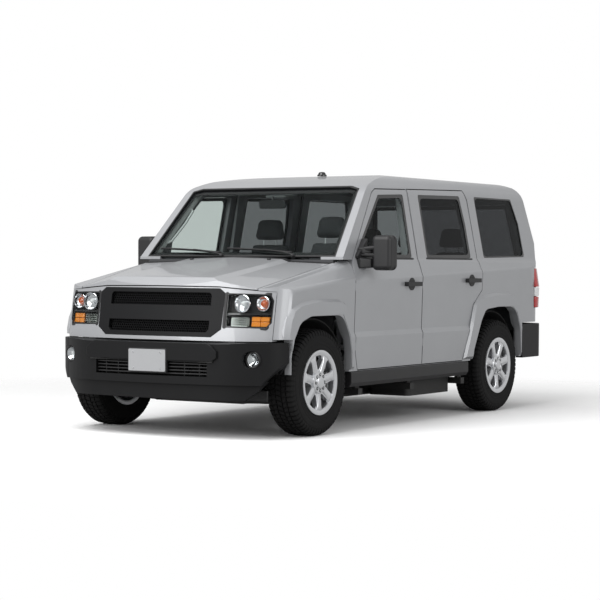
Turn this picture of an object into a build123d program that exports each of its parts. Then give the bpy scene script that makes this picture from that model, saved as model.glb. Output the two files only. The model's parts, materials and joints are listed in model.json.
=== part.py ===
from build123d import *
import math
import os

# Wheelchair accessible van, in millimetres.
# +X is forward, +Y is the vehicle's left, +Z is up. Z = 0 is the road under the tyres.

# ---- overall ----
LENGTH = 4740.0
HALF_LENGTH = LENGTH / 2
HALF_WIDTH = 1000.0
ROOF_Z = 2012.0
WHEELBASE = 2946.0
FRONT_AXLE_X = 1598.0
REAR_AXLE_X = FRONT_AXLE_X - WHEELBASE
DOOR_GAP = 8.0
SEAT_GAP = 0.3
WALL = 55.0
GLASS_INSET = 8.0
GLASS_T = 5.0
GLASS_CORNER_R = 22.0

# ---- wheels ----
TYRE_R = 394.0
TYRE_WIDTH = 240.0
RIM_R = 239.0
BEAD_R = 216.0
TRACK = 1766.0
WHEEL_Y = TRACK / 2
SPOKES = 7
STUD_CIRCLE_R = 67.5
STUDS = 5
KINGPIN_Y = 800.0
KINGPIN_R = 17.0

# ---- body side section ----
BODY_BOTTOM_Z = 455.0
LEDGE_LOW_Z = 712.0
LEDGE_HIGH_Z = 750.0
LEDGE_STEP = 16.0
CREASE_R = 45.0
CREASE_FRONT_Z = 1100.0
CREASE_REAR_Z = 1238.0
BELT_Y = 950.0
BELT_Z = 1300.0
RAIL_Y = 846.0
RAIL_Z = 1862.0
ROOF_EDGE_Y = 770.0
ROOF_EDGE_Z = 1968.0

# ---- front ----
NOSE_X = 2216.0
NOSE_Z = 1102.0
NOSE_LEAN = 0.175
HOOD_CREASE_X = 2154.0
HOOD_CREASE_Z = 1172.0
COWL_X = 1164.0
COWL_Z = 1334.0
SCREEN_TOP_X = 661.0
SCREEN_TOP_Z = 1872.0
HOOD_T = 34.0
HOOD_HALF_FRONT = 800.0
HOOD_HALF_REAR = 865.0
HOOD_REAR_X = 1248.0
NOSE_BOTTOM_Z = 708.0
BUMPER_TOP_Z = 700.0
FENDER_REAR_X = 1030.0

# ---- rear ----
REAR_X = -2285.0
REAR_BELT_X = -2268.0
REAR_TOP_X = -2120.0
REAR_TOP_Z = 1905.0
TAILGATE_BOTTOM_Z = 745.0
TAILGATE_HALF = 858.0
TAILGATE_HALF_TOP = 772.0

# ---- doors ----
DOOR_BOTTOM_Z = 461.0
FRONT_DOOR_X = 1083.0
B_GAP_X = 16.0
REAR_DOOR_X = -1050.0
DOOR_TOP_FRONT_Z = 1852.0
DOOR_TOP_REAR_Z = 1892.0
HINGE_Y = 997.0
HINGE_R = 3.5
HINGE_PIN_R = 2.0
HOOD_HINGE_Z = 1297.0
HOOD_HINGE_Y = 300.0
COWL_GAP = 20.0
GATE_HINGE_X = -2113.0
GATE_HINGE_Z = 1898.0
GATE_HINGE_Y = 500.0

# ---- floor and frame ----
ROCKER_BOTTOM_Z = 335.0
ROCKER_FRONT_X = 1135.0
ROCKER_REAR_X = -800.0
FLOOR_TOP_Z = 430.0
FLOOR_T = 24.0
CARGO_FLOOR_Z = 700.0
FIREWALL_X = 1235.0
RAIL_HALF_SPACING = 440.0
RAIL_W = 70.0
RAIL_H = 120.0
HITCH_X = -2310.0
HITCH_Z = 416.0
HITCH_T = 18.0
HITCH_HALF = 60.0
HITCH_HOLE_R = 13.0

# ---- ramp ----
RAMP_X = -340.0
RAMP_WIDTH = 660.0
RAMP_LENGTH = 1180.0
RAMP_T = 30.0
RAMP_TOP_Z = 396.0

os.makedirs("parts", exist_ok=True)


def write(builder, name):
    """Label a finished piece and write its STEP file."""
    builder.part.label = name
    export_step(builder.part, "parts/" + name + ".step")


def lean(x, z):
    """X of a nose point at height z, for the x that it has at the nose line."""
    return x - NOSE_LEAN * (z - NOSE_Z)


# ---------------------------------------------------------------- body envelope

def round_corners(sketch, points, radii):
    """Round the corners of a sketch that lie at the given points."""
    for point, radius in zip(points, radii):
        if radius > 0:
            corner = sketch.vertices().sort_by_distance((point[0], point[1], 0))[0]
            fillet(corner, radius)


def rounded_section(x, half, radii, inset):
    """Section at station x from its left half, with rounded corners, moved in by inset."""
    points = half + [(-y, z) for y, z in reversed(half[:-1])]
    with BuildSketch(Plane((x, 0, 0), x_dir=(0, 1, 0), z_dir=(1, 0, 0))) as section:
        with BuildLine():
            Polyline(*points, close=True)
        make_face()
        for side in (-1, 1):
            round_corners(section, [(side * y, z) for y, z in half], radii)
        if inset != 0:
            offset(amount=-inset, kind=Kind.INTERSECTION, mode=Mode.REPLACE)
    return section.sketch


def cabin_section(x, crease_z, inset, bottom):
    """Closed section of the cabin at station x, moved in by inset."""
    half = [
        (HALF_WIDTH - 8, bottom),
        (HALF_WIDTH + 3, LEDGE_LOW_Z),
        (HALF_WIDTH + 3 - LEDGE_STEP, LEDGE_HIGH_Z),
        (HALF_WIDTH, crease_z),
        (BELT_Y, BELT_Z),
        (RAIL_Y, RAIL_Z),
        (ROOF_EDGE_Y, ROOF_EDGE_Z),
        (380, ROOF_Z - 8),
        (0, ROOF_Z),
    ]
    radii = [0, 8, 8, CREASE_R, 110, 190, 130, 1000]
    return rounded_section(x, half, radii, inset)


def hood_section(x, crease_z, shoulder_y, shoulder_z, edge_y, edge_z, top_z, inset, bottom):
    """Closed section of the front end at station x, with the raised middle of the hood."""
    half = [
        (HALF_WIDTH - 8, bottom),
        (HALF_WIDTH + 3, LEDGE_LOW_Z),
        (HALF_WIDTH + 3 - LEDGE_STEP, LEDGE_HIGH_Z),
        (HALF_WIDTH, crease_z),
        (shoulder_y, shoulder_z),
        (edge_y, edge_z),
        (500, top_z - 34),
        (440, top_z - 12),
        (0, top_z),
    ]
    radii = [0, 8, 8, CREASE_R, 90, 60, 40, 60]
    return rounded_section(x, half, radii, inset)


def cabin_envelope(inset, bottom):
    """The cabin's closed outer form, moved in by inset."""
    front_x = COWL_X + 26
    rear_x = REAR_X - 60
    slope = (CREASE_FRONT_Z - CREASE_REAR_Z) / (2081 + 1981)
    roof_line = [
        (SCREEN_TOP_X, SCREEN_TOP_Z), (430, 1936), (0, 1984), (-500, ROOF_Z), (-1300, ROOF_Z - 4),
        (-1900, 1972), (REAR_TOP_X + 60, 1946), (REAR_TOP_X, REAR_TOP_Z), (REAR_BELT_X, 1290),
        (REAR_X, 1130),
    ]
    roof_radii = [280, 1200, 3000, 3000, 3000, 1200, 90, 70, 400, 400]
    corner = [
        (REAR_X + 330, HALF_WIDTH + 6), (REAR_X + 120, HALF_WIDTH - 22), (REAR_X + 22, HALF_WIDTH - 110),
        (REAR_X, HALF_WIDTH - 330),
    ]
    corner_radii = [500, 150, 120, 700]
    front_section = cabin_section(front_x, CREASE_FRONT_Z + slope * (front_x - 2081), inset, bottom)
    rear_section = cabin_section(rear_x, CREASE_REAR_Z + slope * (rear_x + 1981), inset, bottom)
    with BuildSketch(Plane.XZ) as side_view:
        with BuildLine():
            Polyline((COWL_X + 60, bottom), (COWL_X + 60, COWL_Z - 40), (COWL_X + 18, COWL_Z - 14),
                     *roof_line, (REAR_X, bottom), close=True)
        make_face()
        if inset < WALL:
            round_corners(side_view, roof_line, roof_radii)
        if inset > 0:
            offset(amount=-inset, kind=Kind.INTERSECTION, mode=Mode.REPLACE)
    with BuildSketch(Plane.XY.offset(bottom - 10)) as plan_view:
        with BuildLine():
            Polyline((COWL_X + 200, -HALF_WIDTH - 60), (COWL_X + 200, HALF_WIDTH + 60),
                     (REAR_X + 700, HALF_WIDTH + 60), *corner, (REAR_X - 6, 0),
                     *[(x, -y) for x, y in reversed(corner)], (REAR_X + 700, -HALF_WIDTH - 60), close=True)
        make_face()
        if inset < WALL:
            for side in (-1, 1):
                round_corners(plan_view, [(x, side * y) for x, y in corner], corner_radii)
        if inset > 0:
            offset(amount=-inset, kind=Kind.INTERSECTION, mode=Mode.REPLACE)
    with BuildPart() as cabin:
        add(front_section)
        add(rear_section)
        loft(ruled=True)
        extrude(to_extrude=side_view.sketch, amount=HALF_WIDTH + 100, both=True, mode=Mode.INTERSECT)
        extrude(to_extrude=plan_view.sketch, amount=2000, mode=Mode.INTERSECT)
    return cabin.part


def bowed_edge(centre_x, half):
    """Arcs across the vehicle through its centre line: a middle arc and two arcs on each side."""
    ThreePointArc((half[0][0], -half[0][1]), (centre_x, 0), half[0])
    for side in (-1, 1):
        points = [(x, side * y) for x, y in half]
        ThreePointArc(points[0], points[1], points[2])
        ThreePointArc(points[2], points[3], points[4])


def nose_plan(inset):
    """Outline of the front end, drawn square to the leaning nose, with its front line at the origin."""
    half = [
        (-29, 500),
        (-62, 690),
        (-128, 880),
        (-205, 966),
        (-330, HALF_WIDTH + 3),
    ]
    reach = COWL_X - NOSE_X - 300
    leaning = Plane((lean(NOSE_X, 0), 0, 0), x_dir=(1, 0, NOSE_LEAN), z_dir=(-NOSE_LEAN, 0, 1))
    with BuildSketch(leaning) as plan:
        with BuildLine():
            bowed_edge(0, half)
            Polyline(half[-1], (reach, HALF_WIDTH + 40), (reach, -HALF_WIDTH - 40), (half[-1][0], -half[-1][1]))
        make_face()
        if inset > 0:
            offset(amount=-inset, kind=Kind.INTERSECTION, mode=Mode.REPLACE)
    return plan.sketch


def front_envelope(inset, bottom):
    """The front end's closed outer form, moved in by inset."""
    rear_section = hood_section(FENDER_REAR_X, 1168, 941, 1276, 888, 1308, COWL_Z + 10, inset, bottom)
    front_section = hood_section(2330, 1060, 930, 1052, 800, 1040, 1150, inset, bottom)
    plan_view = nose_plan(inset)
    with BuildPart() as front:
        add(rear_section)
        add(front_section)
        loft(ruled=True)
        extrude(to_extrude=plan_view, amount=2000, dir=(-NOSE_LEAN, 0, 1), mode=Mode.INTERSECT)
        with BuildSketch(Plane.XZ):
            with BuildLine():
                Polyline((FENDER_REAR_X, 0), (2600, 0), (2600, 900), (NOSE_X + 2 - inset, NOSE_Z - inset),
                         (HOOD_CREASE_X, HOOD_CREASE_Z - inset), (COWL_X, COWL_Z + 20),
                         (FENDER_REAR_X, COWL_Z + 40),
                         close=True)
            make_face()
        extrude(amount=HALF_WIDTH + 100, both=True, mode=Mode.INTERSECT)
    return front.part


CABIN_OUTER = cabin_envelope(0, BODY_BOTTOM_Z)
CABIN_INNER = cabin_envelope(WALL, BODY_BOTTOM_Z - 150)
FRONT_OUTER = front_envelope(0, BODY_BOTTOM_Z)
FRONT_INNER = front_envelope(WALL, BODY_BOTTOM_Z - 150)

with BuildPart() as cabin_shell:
    add(CABIN_OUTER)
    add(CABIN_INNER, mode=Mode.SUBTRACT)

with BuildPart() as glass_shell:
    add(cabin_envelope(GLASS_INSET, BODY_BOTTOM_Z))
    add(cabin_envelope(GLASS_INSET + GLASS_T, BODY_BOTTOM_Z - 60), mode=Mode.SUBTRACT)

with BuildPart() as front_shell:
    add(FRONT_OUTER)
    add(FRONT_INNER, mode=Mode.SUBTRACT)

with BuildPart() as hood_shell:
    add(FRONT_OUTER)
    add(front_envelope(HOOD_T, BODY_BOTTOM_Z - 150), mode=Mode.SUBTRACT)


# ---------------------------------------------------------------- outlines

SIDE_IN_Y = 700.0
SIDE_OUT_Y = 1100.0


def side_plane(y):
    """Vertical plane at y, drawn with X to the right and Z up."""
    return Plane((0, y, 0), x_dir=(1, 0, 0), z_dir=(0, -1, 0))


def cross_plane(x):
    """Vertical plane across the vehicle at x, drawn with Y to the right and Z up."""
    return Plane((x, 0, 0), x_dir=(0, 1, 0), z_dir=(1, 0, 0))


def side_prism(points, grow, radius=0.0, y_in=SIDE_IN_Y, y_out=SIDE_OUT_Y):
    """Prism on the left side over an XZ outline, grown by grow, corners rounded by radius."""
    with BuildPart() as prism:
        with BuildSketch(side_plane(y_in)) as outline:
            with BuildLine():
                Polyline(*points, close=True)
            make_face()
            if radius > 0:
                fillet(outline.vertices(), radius)
            if grow != 0:
                offset(amount=grow, kind=Kind.INTERSECTION, mode=Mode.REPLACE)
        extrude(amount=-(y_out - y_in))
    return prism.part


def cross_prism(points, x_low, x_high, grow=0.0):
    """Prism along X over a YZ outline."""
    with BuildPart() as prism:
        with BuildSketch(cross_plane(x_low)):
            with BuildLine():
                Polyline(*points, close=True)
            make_face()
            if grow != 0:
                offset(amount=grow, kind=Kind.INTERSECTION, mode=Mode.REPLACE)
        extrude(amount=x_high - x_low)
    return prism.part


def block(x0, x1, y0, y1, z0, z1):
    """Box between two corners, kept out of any open builder."""
    with BuildPart() as solid:
        with Locations(((x0 + x1) / 2, (y0 + y1) / 2, (z0 + z1) / 2)):
            Box(abs(x1 - x0), abs(y1 - y0), abs(z1 - z0))
    return solid.part


def rod(start, end, radius):
    """Round bar between two points."""
    a = Vector(*start)
    b = Vector(*end)
    with BuildPart() as solid:
        with BuildSketch(Plane(a, z_dir=(b - a).normalized())):
            Circle(radius)
        extrude(amount=(b - a).length)
    return solid.part


ARM_GAP = 4.0
SWING_BELT = 3.0
SWING_TOP = 9.0
FRONT_DOOR = [
    (1043, DOOR_BOTTOM_Z), (FRONT_DOOR_X, 590), (FRONT_DOOR_X, 1144), (1058, 1296), (603, 1822),
    (541, DOOR_TOP_FRONT_Z), (B_GAP_X + ARM_GAP + SWING_TOP, 1864),
    (B_GAP_X + ARM_GAP + SWING_BELT, BELT_Z), (B_GAP_X + ARM_GAP, 1200), (B_GAP_X + ARM_GAP, DOOR_BOTTOM_Z),
]
REAR_DOOR_FRONT = [(B_GAP_X, DOOR_BOTTOM_Z), (B_GAP_X, 1200), (B_GAP_X, 1866)]
REAR_DOOR_LOW = [(REAR_DOOR_X, 1150), (REAR_DOOR_X + 6, 1046), (-888, 926), (-811, 724), (-690, DOOR_BOTTOM_Z)]
REAR_DOOR = REAR_DOOR_FRONT + [
    (-975, DOOR_TOP_REAR_Z - 4), (-1012, 1800), (REAR_DOOR_X + 14, BELT_Z),
] + REAR_DOOR_LOW
REAR_OPENING = REAR_DOOR_FRONT + [
    (-975 - SWING_TOP, DOOR_TOP_REAR_Z - 4), (-1012 - SWING_TOP, 1800),
    (REAR_DOOR_X + 14 - SWING_BELT, BELT_Z),
] + REAR_DOOR_LOW
FRONT_GLASS = [(112, 1310), (858, 1318), (858, 1466), (512, 1806), (104, 1822)]
REAR_GLASS = [(-142, 1310), (-146, 1826), (-880, 1838), (-918, 1600), (-926, 1316)]
QUARTER = [(-1168, 1318), (-1152, 1840), (-1872, 1840), (-1960, 1620), (-1976, 1330)]
MIRROR_BASE = [(866, 1310), (1010, 1310), (1010, 1326), (866, 1462)]
FRONT_ARCH = [(1171, 300), (1159, 600), (1190, 730), (1290, 888), (1740, 888), (1890, 845),
              (1975, 725), (2014, 600), (2014, 300)]
FRONT_FLARE = [(1096, 461), (1121, 616), (1140, 770), (1186, 904), (1236, 984), (1330, 1010),
               (1603, 1018), (1742, 1008), (1879, 990), (1986, 949), (2039, 864), (2066, 770),
               (2066, 461)]
REAR_ARCH = [(-790, 300), (-865, 550), (-1000, 792), (-1085, 886), (-1325, 904), (-1600, 902),
             (-1695, 850), (-1772, 700), (-1790, 300)]
REAR_FLARE = [(-681, 461), (-802, 724), (-884, 935), (-985, 990), (-1105, 1016), (-1300, 1030),
              (-1500, 1034), (-1640, 1018), (-1726, 960), (-1790, 850), (-1822, 756), (-1822, 461)]
SCREEN = [(-878, 1318), (878, 1318), (786, 1852), (700, 1874), (-700, 1874), (-786, 1852)]
TAILGATE = [(-TAILGATE_HALF, TAILGATE_BOTTOM_Z), (TAILGATE_HALF, TAILGATE_BOTTOM_Z),
            (TAILGATE_HALF, 1240), (TAILGATE_HALF_TOP, 1880), (740, 1898), (-740, 1898),
            (-TAILGATE_HALF_TOP, 1880), (-TAILGATE_HALF, 1240)]
TAILGATE_GLASS = [(-760, 1290), (760, 1290), (694, 1800), (-694, 1800)]
GRILLE = [(-476, 734), (476, 734), (556, 792), (562, 1052), (516, 1086), (-516, 1086),
          (-562, 1052), (-556, 792)]
LAMP = [(572, 806), (880, 800), (910, 840), (912, 1000), (890, 1046), (572, 1052)]
NOSE_TOP = [(0, 1100), (509, 1096), (803, 1072), (960, 1062)]
FLARE_BASE_Y = 984.0
FLARE_RISE = 34.0
FLARE_TAPER = 42.0


def flare(points):
    """Raised pad round a wheel arch, on the left side, with sloping outer edges."""
    with BuildPart() as pad:
        with BuildSketch(side_plane(FLARE_BASE_Y - 30)):
            with BuildLine():
                Polyline(*points, close=True)
            make_face()
        extrude(amount=-30)
        with BuildSketch(side_plane(FLARE_BASE_Y)):
            with BuildLine():
                Polyline(*points, close=True)
            make_face()
        extrude(amount=-FLARE_RISE, taper=FLARE_TAPER)
    return pad.part


HOOD_GAP = 8.0
LUG_LENGTH = 20.0


def cross_barrel(x, z, y_low, y_high, radius):
    """Round bar across the vehicle."""
    return rod((x, y_low, z), (x, y_high, z), radius)


def hood_line(x):
    """Y of the fender's inner edge beside the hood at x."""
    return HOOD_HALF_REAR + (HOOD_HALF_FRONT - HOOD_HALF_REAR) * (x - HOOD_REAR_X) / (2140 - HOOD_REAR_X)


def nose_zone(drop, side_grow):
    """Space under the hood's front line in which the nose panel lies."""
    top = [(y, z - drop) for y, z in NOSE_TOP]
    outline = top + [(990, 1050), (990, 600), (-990, 600), (-990, 1050)] + [(-y, z) for y, z in top[:0:-1]]
    with BuildPart() as zone:
        add(block(2066 - side_grow, 2400, -921 - side_grow, 921 + side_grow, NOSE_BOTTOM_Z - side_grow, 1120))
        add(cross_prism(outline, 1900, 2400), mode=Mode.INTERSECT)
    return zone.part


FRONT_ARCH_CUT = side_prism(FRONT_ARCH, 0, 0, 500, 1100)
REAR_ARCH_CUT = side_prism(REAR_ARCH, 0, 0, 500, 1100)
TAIL_LAMP_X = -2096.0
TAIL_LAMP_LOW_Z = 876.0
TAIL_LAMP_HIGH_Z = 1234.0

# ---------------------------------------------------------------- body sides

ROOF_JOIN_Y = 752.0
BODY_TAIL_X = -1828.0
GATE_CUT_DEPTH = 16.0
POST_IN_Y = 834.0
POST_OUT_Y = 872.0
POST_HALF_X = 40.0
ARM_T = 3.0
HINGE_SPANS = ((610.0, 670.0), (1060.0, 1120.0))


def middle_post():
    """Left post between the doors, inboard of them and leaning in above the belt."""
    foot = [(POST_IN_Y, FLOOR_TOP_Z), (POST_OUT_Y, FLOOR_TOP_Z), (POST_OUT_Y, BELT_Z - 20),
            (ROOF_JOIN_Y + 8, 1880), (ROOF_JOIN_Y, 1912), (ROOF_JOIN_Y, 1850), (POST_IN_Y, BELT_Z - 40)]
    return cross_prism(foot, B_GAP_X - POST_HALF_X, B_GAP_X + POST_HALF_X)


def door_knuckles(hinge_x):
    """Left door halves of the two hinges on the axis at hinge_x, bored for the pins."""
    with BuildPart() as knuckles:
        for low, high in HINGE_SPANS:
            add(rod((hinge_x, HINGE_Y, high - LUG_LENGTH + SEAT_GAP), (hinge_x, HINGE_Y, high), HINGE_R))
            add(block(hinge_x - 16, hinge_x, HINGE_Y - HINGE_R, HINGE_Y, high - LUG_LENGTH + SEAT_GAP, high))
            add(rod((hinge_x, HINGE_Y, low), (hinge_x, HINGE_Y, high + 2), HINGE_PIN_R + SEAT_GAP),
                mode=Mode.SUBTRACT)
    return knuckles.part


with BuildPart() as body_side_left:
    add(cabin_shell.part)
    add(block(-2400, 1300, ROOF_JOIN_Y, 1100, 400, 2100), mode=Mode.INTERSECT)
    add(cross_prism(SCREEN, 580, 1300), mode=Mode.SUBTRACT)
    add(block(1020, 1300, 700, 1100, 300, 1297), mode=Mode.SUBTRACT)
    add(cross_prism(TAILGATE, -2400, REAR_TOP_X + GATE_CUT_DEPTH, DOOR_GAP / 2), mode=Mode.SUBTRACT)
    add(block(-2400, TAIL_LAMP_X, 862, 1100, TAIL_LAMP_LOW_Z, TAIL_LAMP_HIGH_Z), mode=Mode.SUBTRACT)
    add(block(-2400, BODY_TAIL_X, 700, 1100, 300, 752), mode=Mode.SUBTRACT)
    add(flare(REAR_FLARE))
    add(REAR_ARCH_CUT, mode=Mode.SUBTRACT)
    add(side_prism(FRONT_DOOR, DOOR_GAP / 2), mode=Mode.SUBTRACT)
    add(side_prism(REAR_OPENING, DOOR_GAP / 2), mode=Mode.SUBTRACT)
    add(side_prism(QUARTER, 0, GLASS_CORNER_R), mode=Mode.SUBTRACT)
    add(block(1044, 1088, POST_IN_Y, POST_OUT_Y, FLOOR_TOP_Z, 1330))
    add(block(1064, 1088, POST_IN_Y, 902, 1297, 1330))
    add(middle_post())
    for hinge_x in (FRONT_DOOR_X, B_GAP_X):
        for low, high in HINGE_SPANS:
            add(block(hinge_x - ARM_T / 2, hinge_x + ARM_T / 2, POST_OUT_Y - 2, HINGE_Y, low, high - LUG_LENGTH))
            add(rod((hinge_x, HINGE_Y, low), (hinge_x, HINGE_Y, high - LUG_LENGTH), HINGE_R))
            add(rod((hinge_x, HINGE_Y, low), (hinge_x, HINGE_Y, high - 2), HINGE_PIN_R))
write(body_side_left, "body_side_left")

with BuildPart() as front_door_left:
    add(cabin_shell.part)
    add(side_prism(FRONT_DOOR, -DOOR_GAP / 2), mode=Mode.INTERSECT)
    add(side_prism(FRONT_GLASS, 0, GLASS_CORNER_R), mode=Mode.SUBTRACT)
    add(door_knuckles(FRONT_DOOR_X))
write(front_door_left, "front_door_left")

with BuildPart() as rear_door_left:
    add(cabin_shell.part)
    add(side_prism(REAR_DOOR, -DOOR_GAP / 2), mode=Mode.INTERSECT)
    add(side_prism(REAR_GLASS, 0, GLASS_CORNER_R), mode=Mode.SUBTRACT)
    add(door_knuckles(B_GAP_X))
write(rear_door_left, "rear_door_left")

with BuildPart() as front_fender_left:
    add(front_shell.part)
    add(flare(FRONT_FLARE))
    with BuildSketch(Plane.XY.offset(400)):
        with BuildLine():
            Polyline((FENDER_REAR_X, hood_line(FENDER_REAR_X)), (2400, hood_line(2400)), (2400, 1100),
                     (FENDER_REAR_X, 1100), close=True)
        make_face()
    extrude(amount=1000, mode=Mode.INTERSECT)
    add(block(1000, 1192, 700, 1100, 1292, 1400), mode=Mode.SUBTRACT)
    add(side_prism(FRONT_DOOR, DOOR_GAP / 2), mode=Mode.SUBTRACT)
    add(FRONT_ARCH_CUT, mode=Mode.SUBTRACT)
    add(block(2000, 2400, 700, 1100, 300, 722), mode=Mode.SUBTRACT)
    add(nose_zone(0, 4), mode=Mode.SUBTRACT)
    add(cross_prism(LAMP, 1900, 2400), mode=Mode.SUBTRACT)
write(front_fender_left, "front_fender_left")

# ---------------------------------------------------------------- glass

with BuildPart() as front_door_glass_left:
    add(glass_shell.part)
    add(side_prism(FRONT_GLASS, -SEAT_GAP, GLASS_CORNER_R - SEAT_GAP), mode=Mode.INTERSECT)
write(front_door_glass_left, "front_door_glass_left")

with BuildPart() as rear_door_glass_left:
    add(glass_shell.part)
    add(side_prism(REAR_GLASS, -SEAT_GAP, GLASS_CORNER_R - SEAT_GAP), mode=Mode.INTERSECT)
write(rear_door_glass_left, "rear_door_glass_left")

with BuildPart() as quarter_glass:
    add(glass_shell.part)
    add(side_prism(QUARTER, -SEAT_GAP, GLASS_CORNER_R - SEAT_GAP), mode=Mode.INTERSECT)
    mirror(about=Plane.XZ)
write(quarter_glass, "quarter_glass")

with BuildPart() as windscreen:
    add(glass_shell.part)
    add(cross_prism(SCREEN, 640, 1186, -SEAT_GAP), mode=Mode.INTERSECT)
write(windscreen, "windscreen")

with BuildPart() as tailgate_glass:
    add(glass_shell.part)
    add(cross_prism(TAILGATE_GLASS, -2400, REAR_TOP_X - 2, -SEAT_GAP), mode=Mode.INTERSECT)
write(tailgate_glass, "tailgate_glass")

# ---------------------------------------------------------------- roof, tailgate, hood, nose

GATE_DEPTH = 10.0
GATE_GAP = 8.0
GATE_TOP_GAP = 10.0

with BuildPart() as roof_panel:
    add(cabin_shell.part)
    add(block(-2400, 1300, SEAT_GAP - ROOF_JOIN_Y, ROOF_JOIN_Y - SEAT_GAP, 1860, 2100), mode=Mode.INTERSECT)
    add(cross_prism(SCREEN, 580, 1300), mode=Mode.SUBTRACT)
    add(cross_prism(TAILGATE, -2400, REAR_TOP_X + GATE_DEPTH + 2, GATE_TOP_GAP), mode=Mode.SUBTRACT)
    for side in (-1, 1):
        y = side * GATE_HINGE_Y
        add(block(GATE_HINGE_X - HINGE_R, GATE_HINGE_X + HINGE_R, y - LUG_LENGTH, y, GATE_HINGE_Z, GATE_HINGE_Z + 16))
        add(cross_barrel(GATE_HINGE_X, GATE_HINGE_Z, y - LUG_LENGTH, y, HINGE_R))
        add(cross_barrel(GATE_HINGE_X, GATE_HINGE_Z, y - LUG_LENGTH, y + LUG_LENGTH - 2, HINGE_PIN_R))
write(roof_panel, "roof_panel")

with BuildPart() as tailgate:
    add(cabin_shell.part)
    add(cross_prism(TAILGATE, -2400, REAR_TOP_X + GATE_DEPTH, -GATE_GAP / 2), mode=Mode.INTERSECT)
    add(cross_prism(TAILGATE_GLASS, -2400, REAR_TOP_X + GATE_DEPTH), mode=Mode.SUBTRACT)
    for side in (-1, 1):
        low = side * GATE_HINGE_Y + SEAT_GAP
        high = low + LUG_LENGTH
        add(block(GATE_HINGE_X - HINGE_R, GATE_HINGE_X + HINGE_R, low, high, GATE_HINGE_Z - 14, GATE_HINGE_Z))
        add(cross_barrel(GATE_HINGE_X, GATE_HINGE_Z, low, high, HINGE_R))
        add(cross_barrel(GATE_HINGE_X, GATE_HINGE_Z, low - 2, high + 2, HINGE_PIN_R + SEAT_GAP), mode=Mode.SUBTRACT)
write(tailgate, "tailgate")

with BuildPart() as antenna:
    with BuildSketch(Plane.XY.offset(ROOF_Z - 30)):
        with Locations((-56, 0)):
            Ellipse(62, 34)
    extrude(amount=48, taper=14)
    add(cabin_shell.part, mode=Mode.SUBTRACT)
    split(bisect_by=Plane.XY.offset(ROOF_Z - 26))
write(antenna, "antenna")

HOOD_HINGE_X = HOOD_REAR_X - 4
COWL_REAR_X = 1193.0
HOOD_FRONT_POINTS = [(y, z + 4) for y, z in NOSE_TOP]
with BuildPart() as hood:
    add(hood_shell.part)
    with BuildSketch(Plane.XY.offset(400)):
        with BuildLine():
            Polyline((HOOD_REAR_X, hood_line(HOOD_REAR_X) - HOOD_GAP), (2320, hood_line(2320) - HOOD_GAP),
                     (2320, HOOD_GAP - hood_line(2320)), (HOOD_REAR_X, HOOD_GAP - hood_line(HOOD_REAR_X)),
                     close=True)
        make_face()
    extrude(amount=1100, mode=Mode.INTERSECT)
    add(cross_prism(
        HOOD_FRONT_POINTS + [(960, 1500), (-960, 1500)] + [(-y, z) for y, z in HOOD_FRONT_POINTS[:0:-1]],
        1200, 2400), mode=Mode.INTERSECT)
    for side in (-1, 1):
        low = side * HOOD_HINGE_Y + SEAT_GAP
        high = low + LUG_LENGTH
        add(block(HOOD_HINGE_X, HOOD_REAR_X + 14, low, high, HOOD_HINGE_Z - HINGE_R, HOOD_HINGE_Z + HINGE_R))
        add(cross_barrel(HOOD_HINGE_X, HOOD_HINGE_Z, low, high, HINGE_R))
        add(cross_barrel(HOOD_HINGE_X, HOOD_HINGE_Z, low - 2, high + 2, HINGE_PIN_R + SEAT_GAP), mode=Mode.SUBTRACT)
write(hood, "hood")

FOOT_T = 12.0
FOOT_WIDTH = 60.0
NOSE_FOOT_X = 2212.0
NOSE_FOOT_Y = 600.0
with BuildPart() as nose_panel:
    add(front_shell.part)
    add(nose_zone(4, 0), mode=Mode.INTERSECT)
    add(cross_prism(GRILLE, 1900, 2400), mode=Mode.SUBTRACT)
    add(cross_prism(LAMP, 1900, 2400), mode=Mode.SUBTRACT)
    add(cross_prism([(-y, z) for y, z in LAMP], 1900, 2400), mode=Mode.SUBTRACT)
    for side in (-1, 1):
        add(block(NOSE_FOOT_X - FOOT_WIDTH / 2, NOSE_FOOT_X, side * NOSE_FOOT_Y, side * (NOSE_FOOT_Y + FOOT_WIDTH),
                  BUMPER_TOP_Z, NOSE_BOTTOM_Z + FOOT_T))
write(nose_panel, "nose_panel")

COWL_TAB_T = 14.0
COWL_TAB_Z = 1276.0
with BuildPart() as cowl_panel:
    add(hood_shell.part)
    add(block(COWL_REAR_X, HOOD_REAR_X - COWL_GAP, -hood_line(HOOD_REAR_X), hood_line(HOOD_REAR_X), 1200, 1500),
        mode=Mode.INTERSECT)
    for side in (-1, 1):
        y = side * HOOD_HINGE_Y
        add(block(HOOD_REAR_X - COWL_GAP - 8, HOOD_HINGE_X, y - LUG_LENGTH, y,
                  HOOD_HINGE_Z - HINGE_R, HOOD_HINGE_Z + HINGE_R))
        add(cross_barrel(HOOD_HINGE_X, HOOD_HINGE_Z, y - LUG_LENGTH, y, HINGE_R))
        add(cross_barrel(HOOD_HINGE_X, HOOD_HINGE_Z, y - LUG_LENGTH, y + LUG_LENGTH - 2, HINGE_PIN_R))
        add(block(COWL_REAR_X, COWL_REAR_X + COWL_TAB_T, side * (hood_line(HOOD_REAR_X) - FOOT_WIDTH),
                  side * (hood_line(HOOD_REAR_X) + COWL_TAB_T), COWL_TAB_Z - FOOT_T, COWL_TAB_Z))
    add(front_fender_left.part, mode=Mode.SUBTRACT)
    add(mirror(front_fender_left.part, about=Plane.XZ, mode=Mode.PRIVATE), mode=Mode.SUBTRACT)
write(cowl_panel, "cowl_panel")

# ---------------------------------------------------------------- grille and lamps

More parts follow.
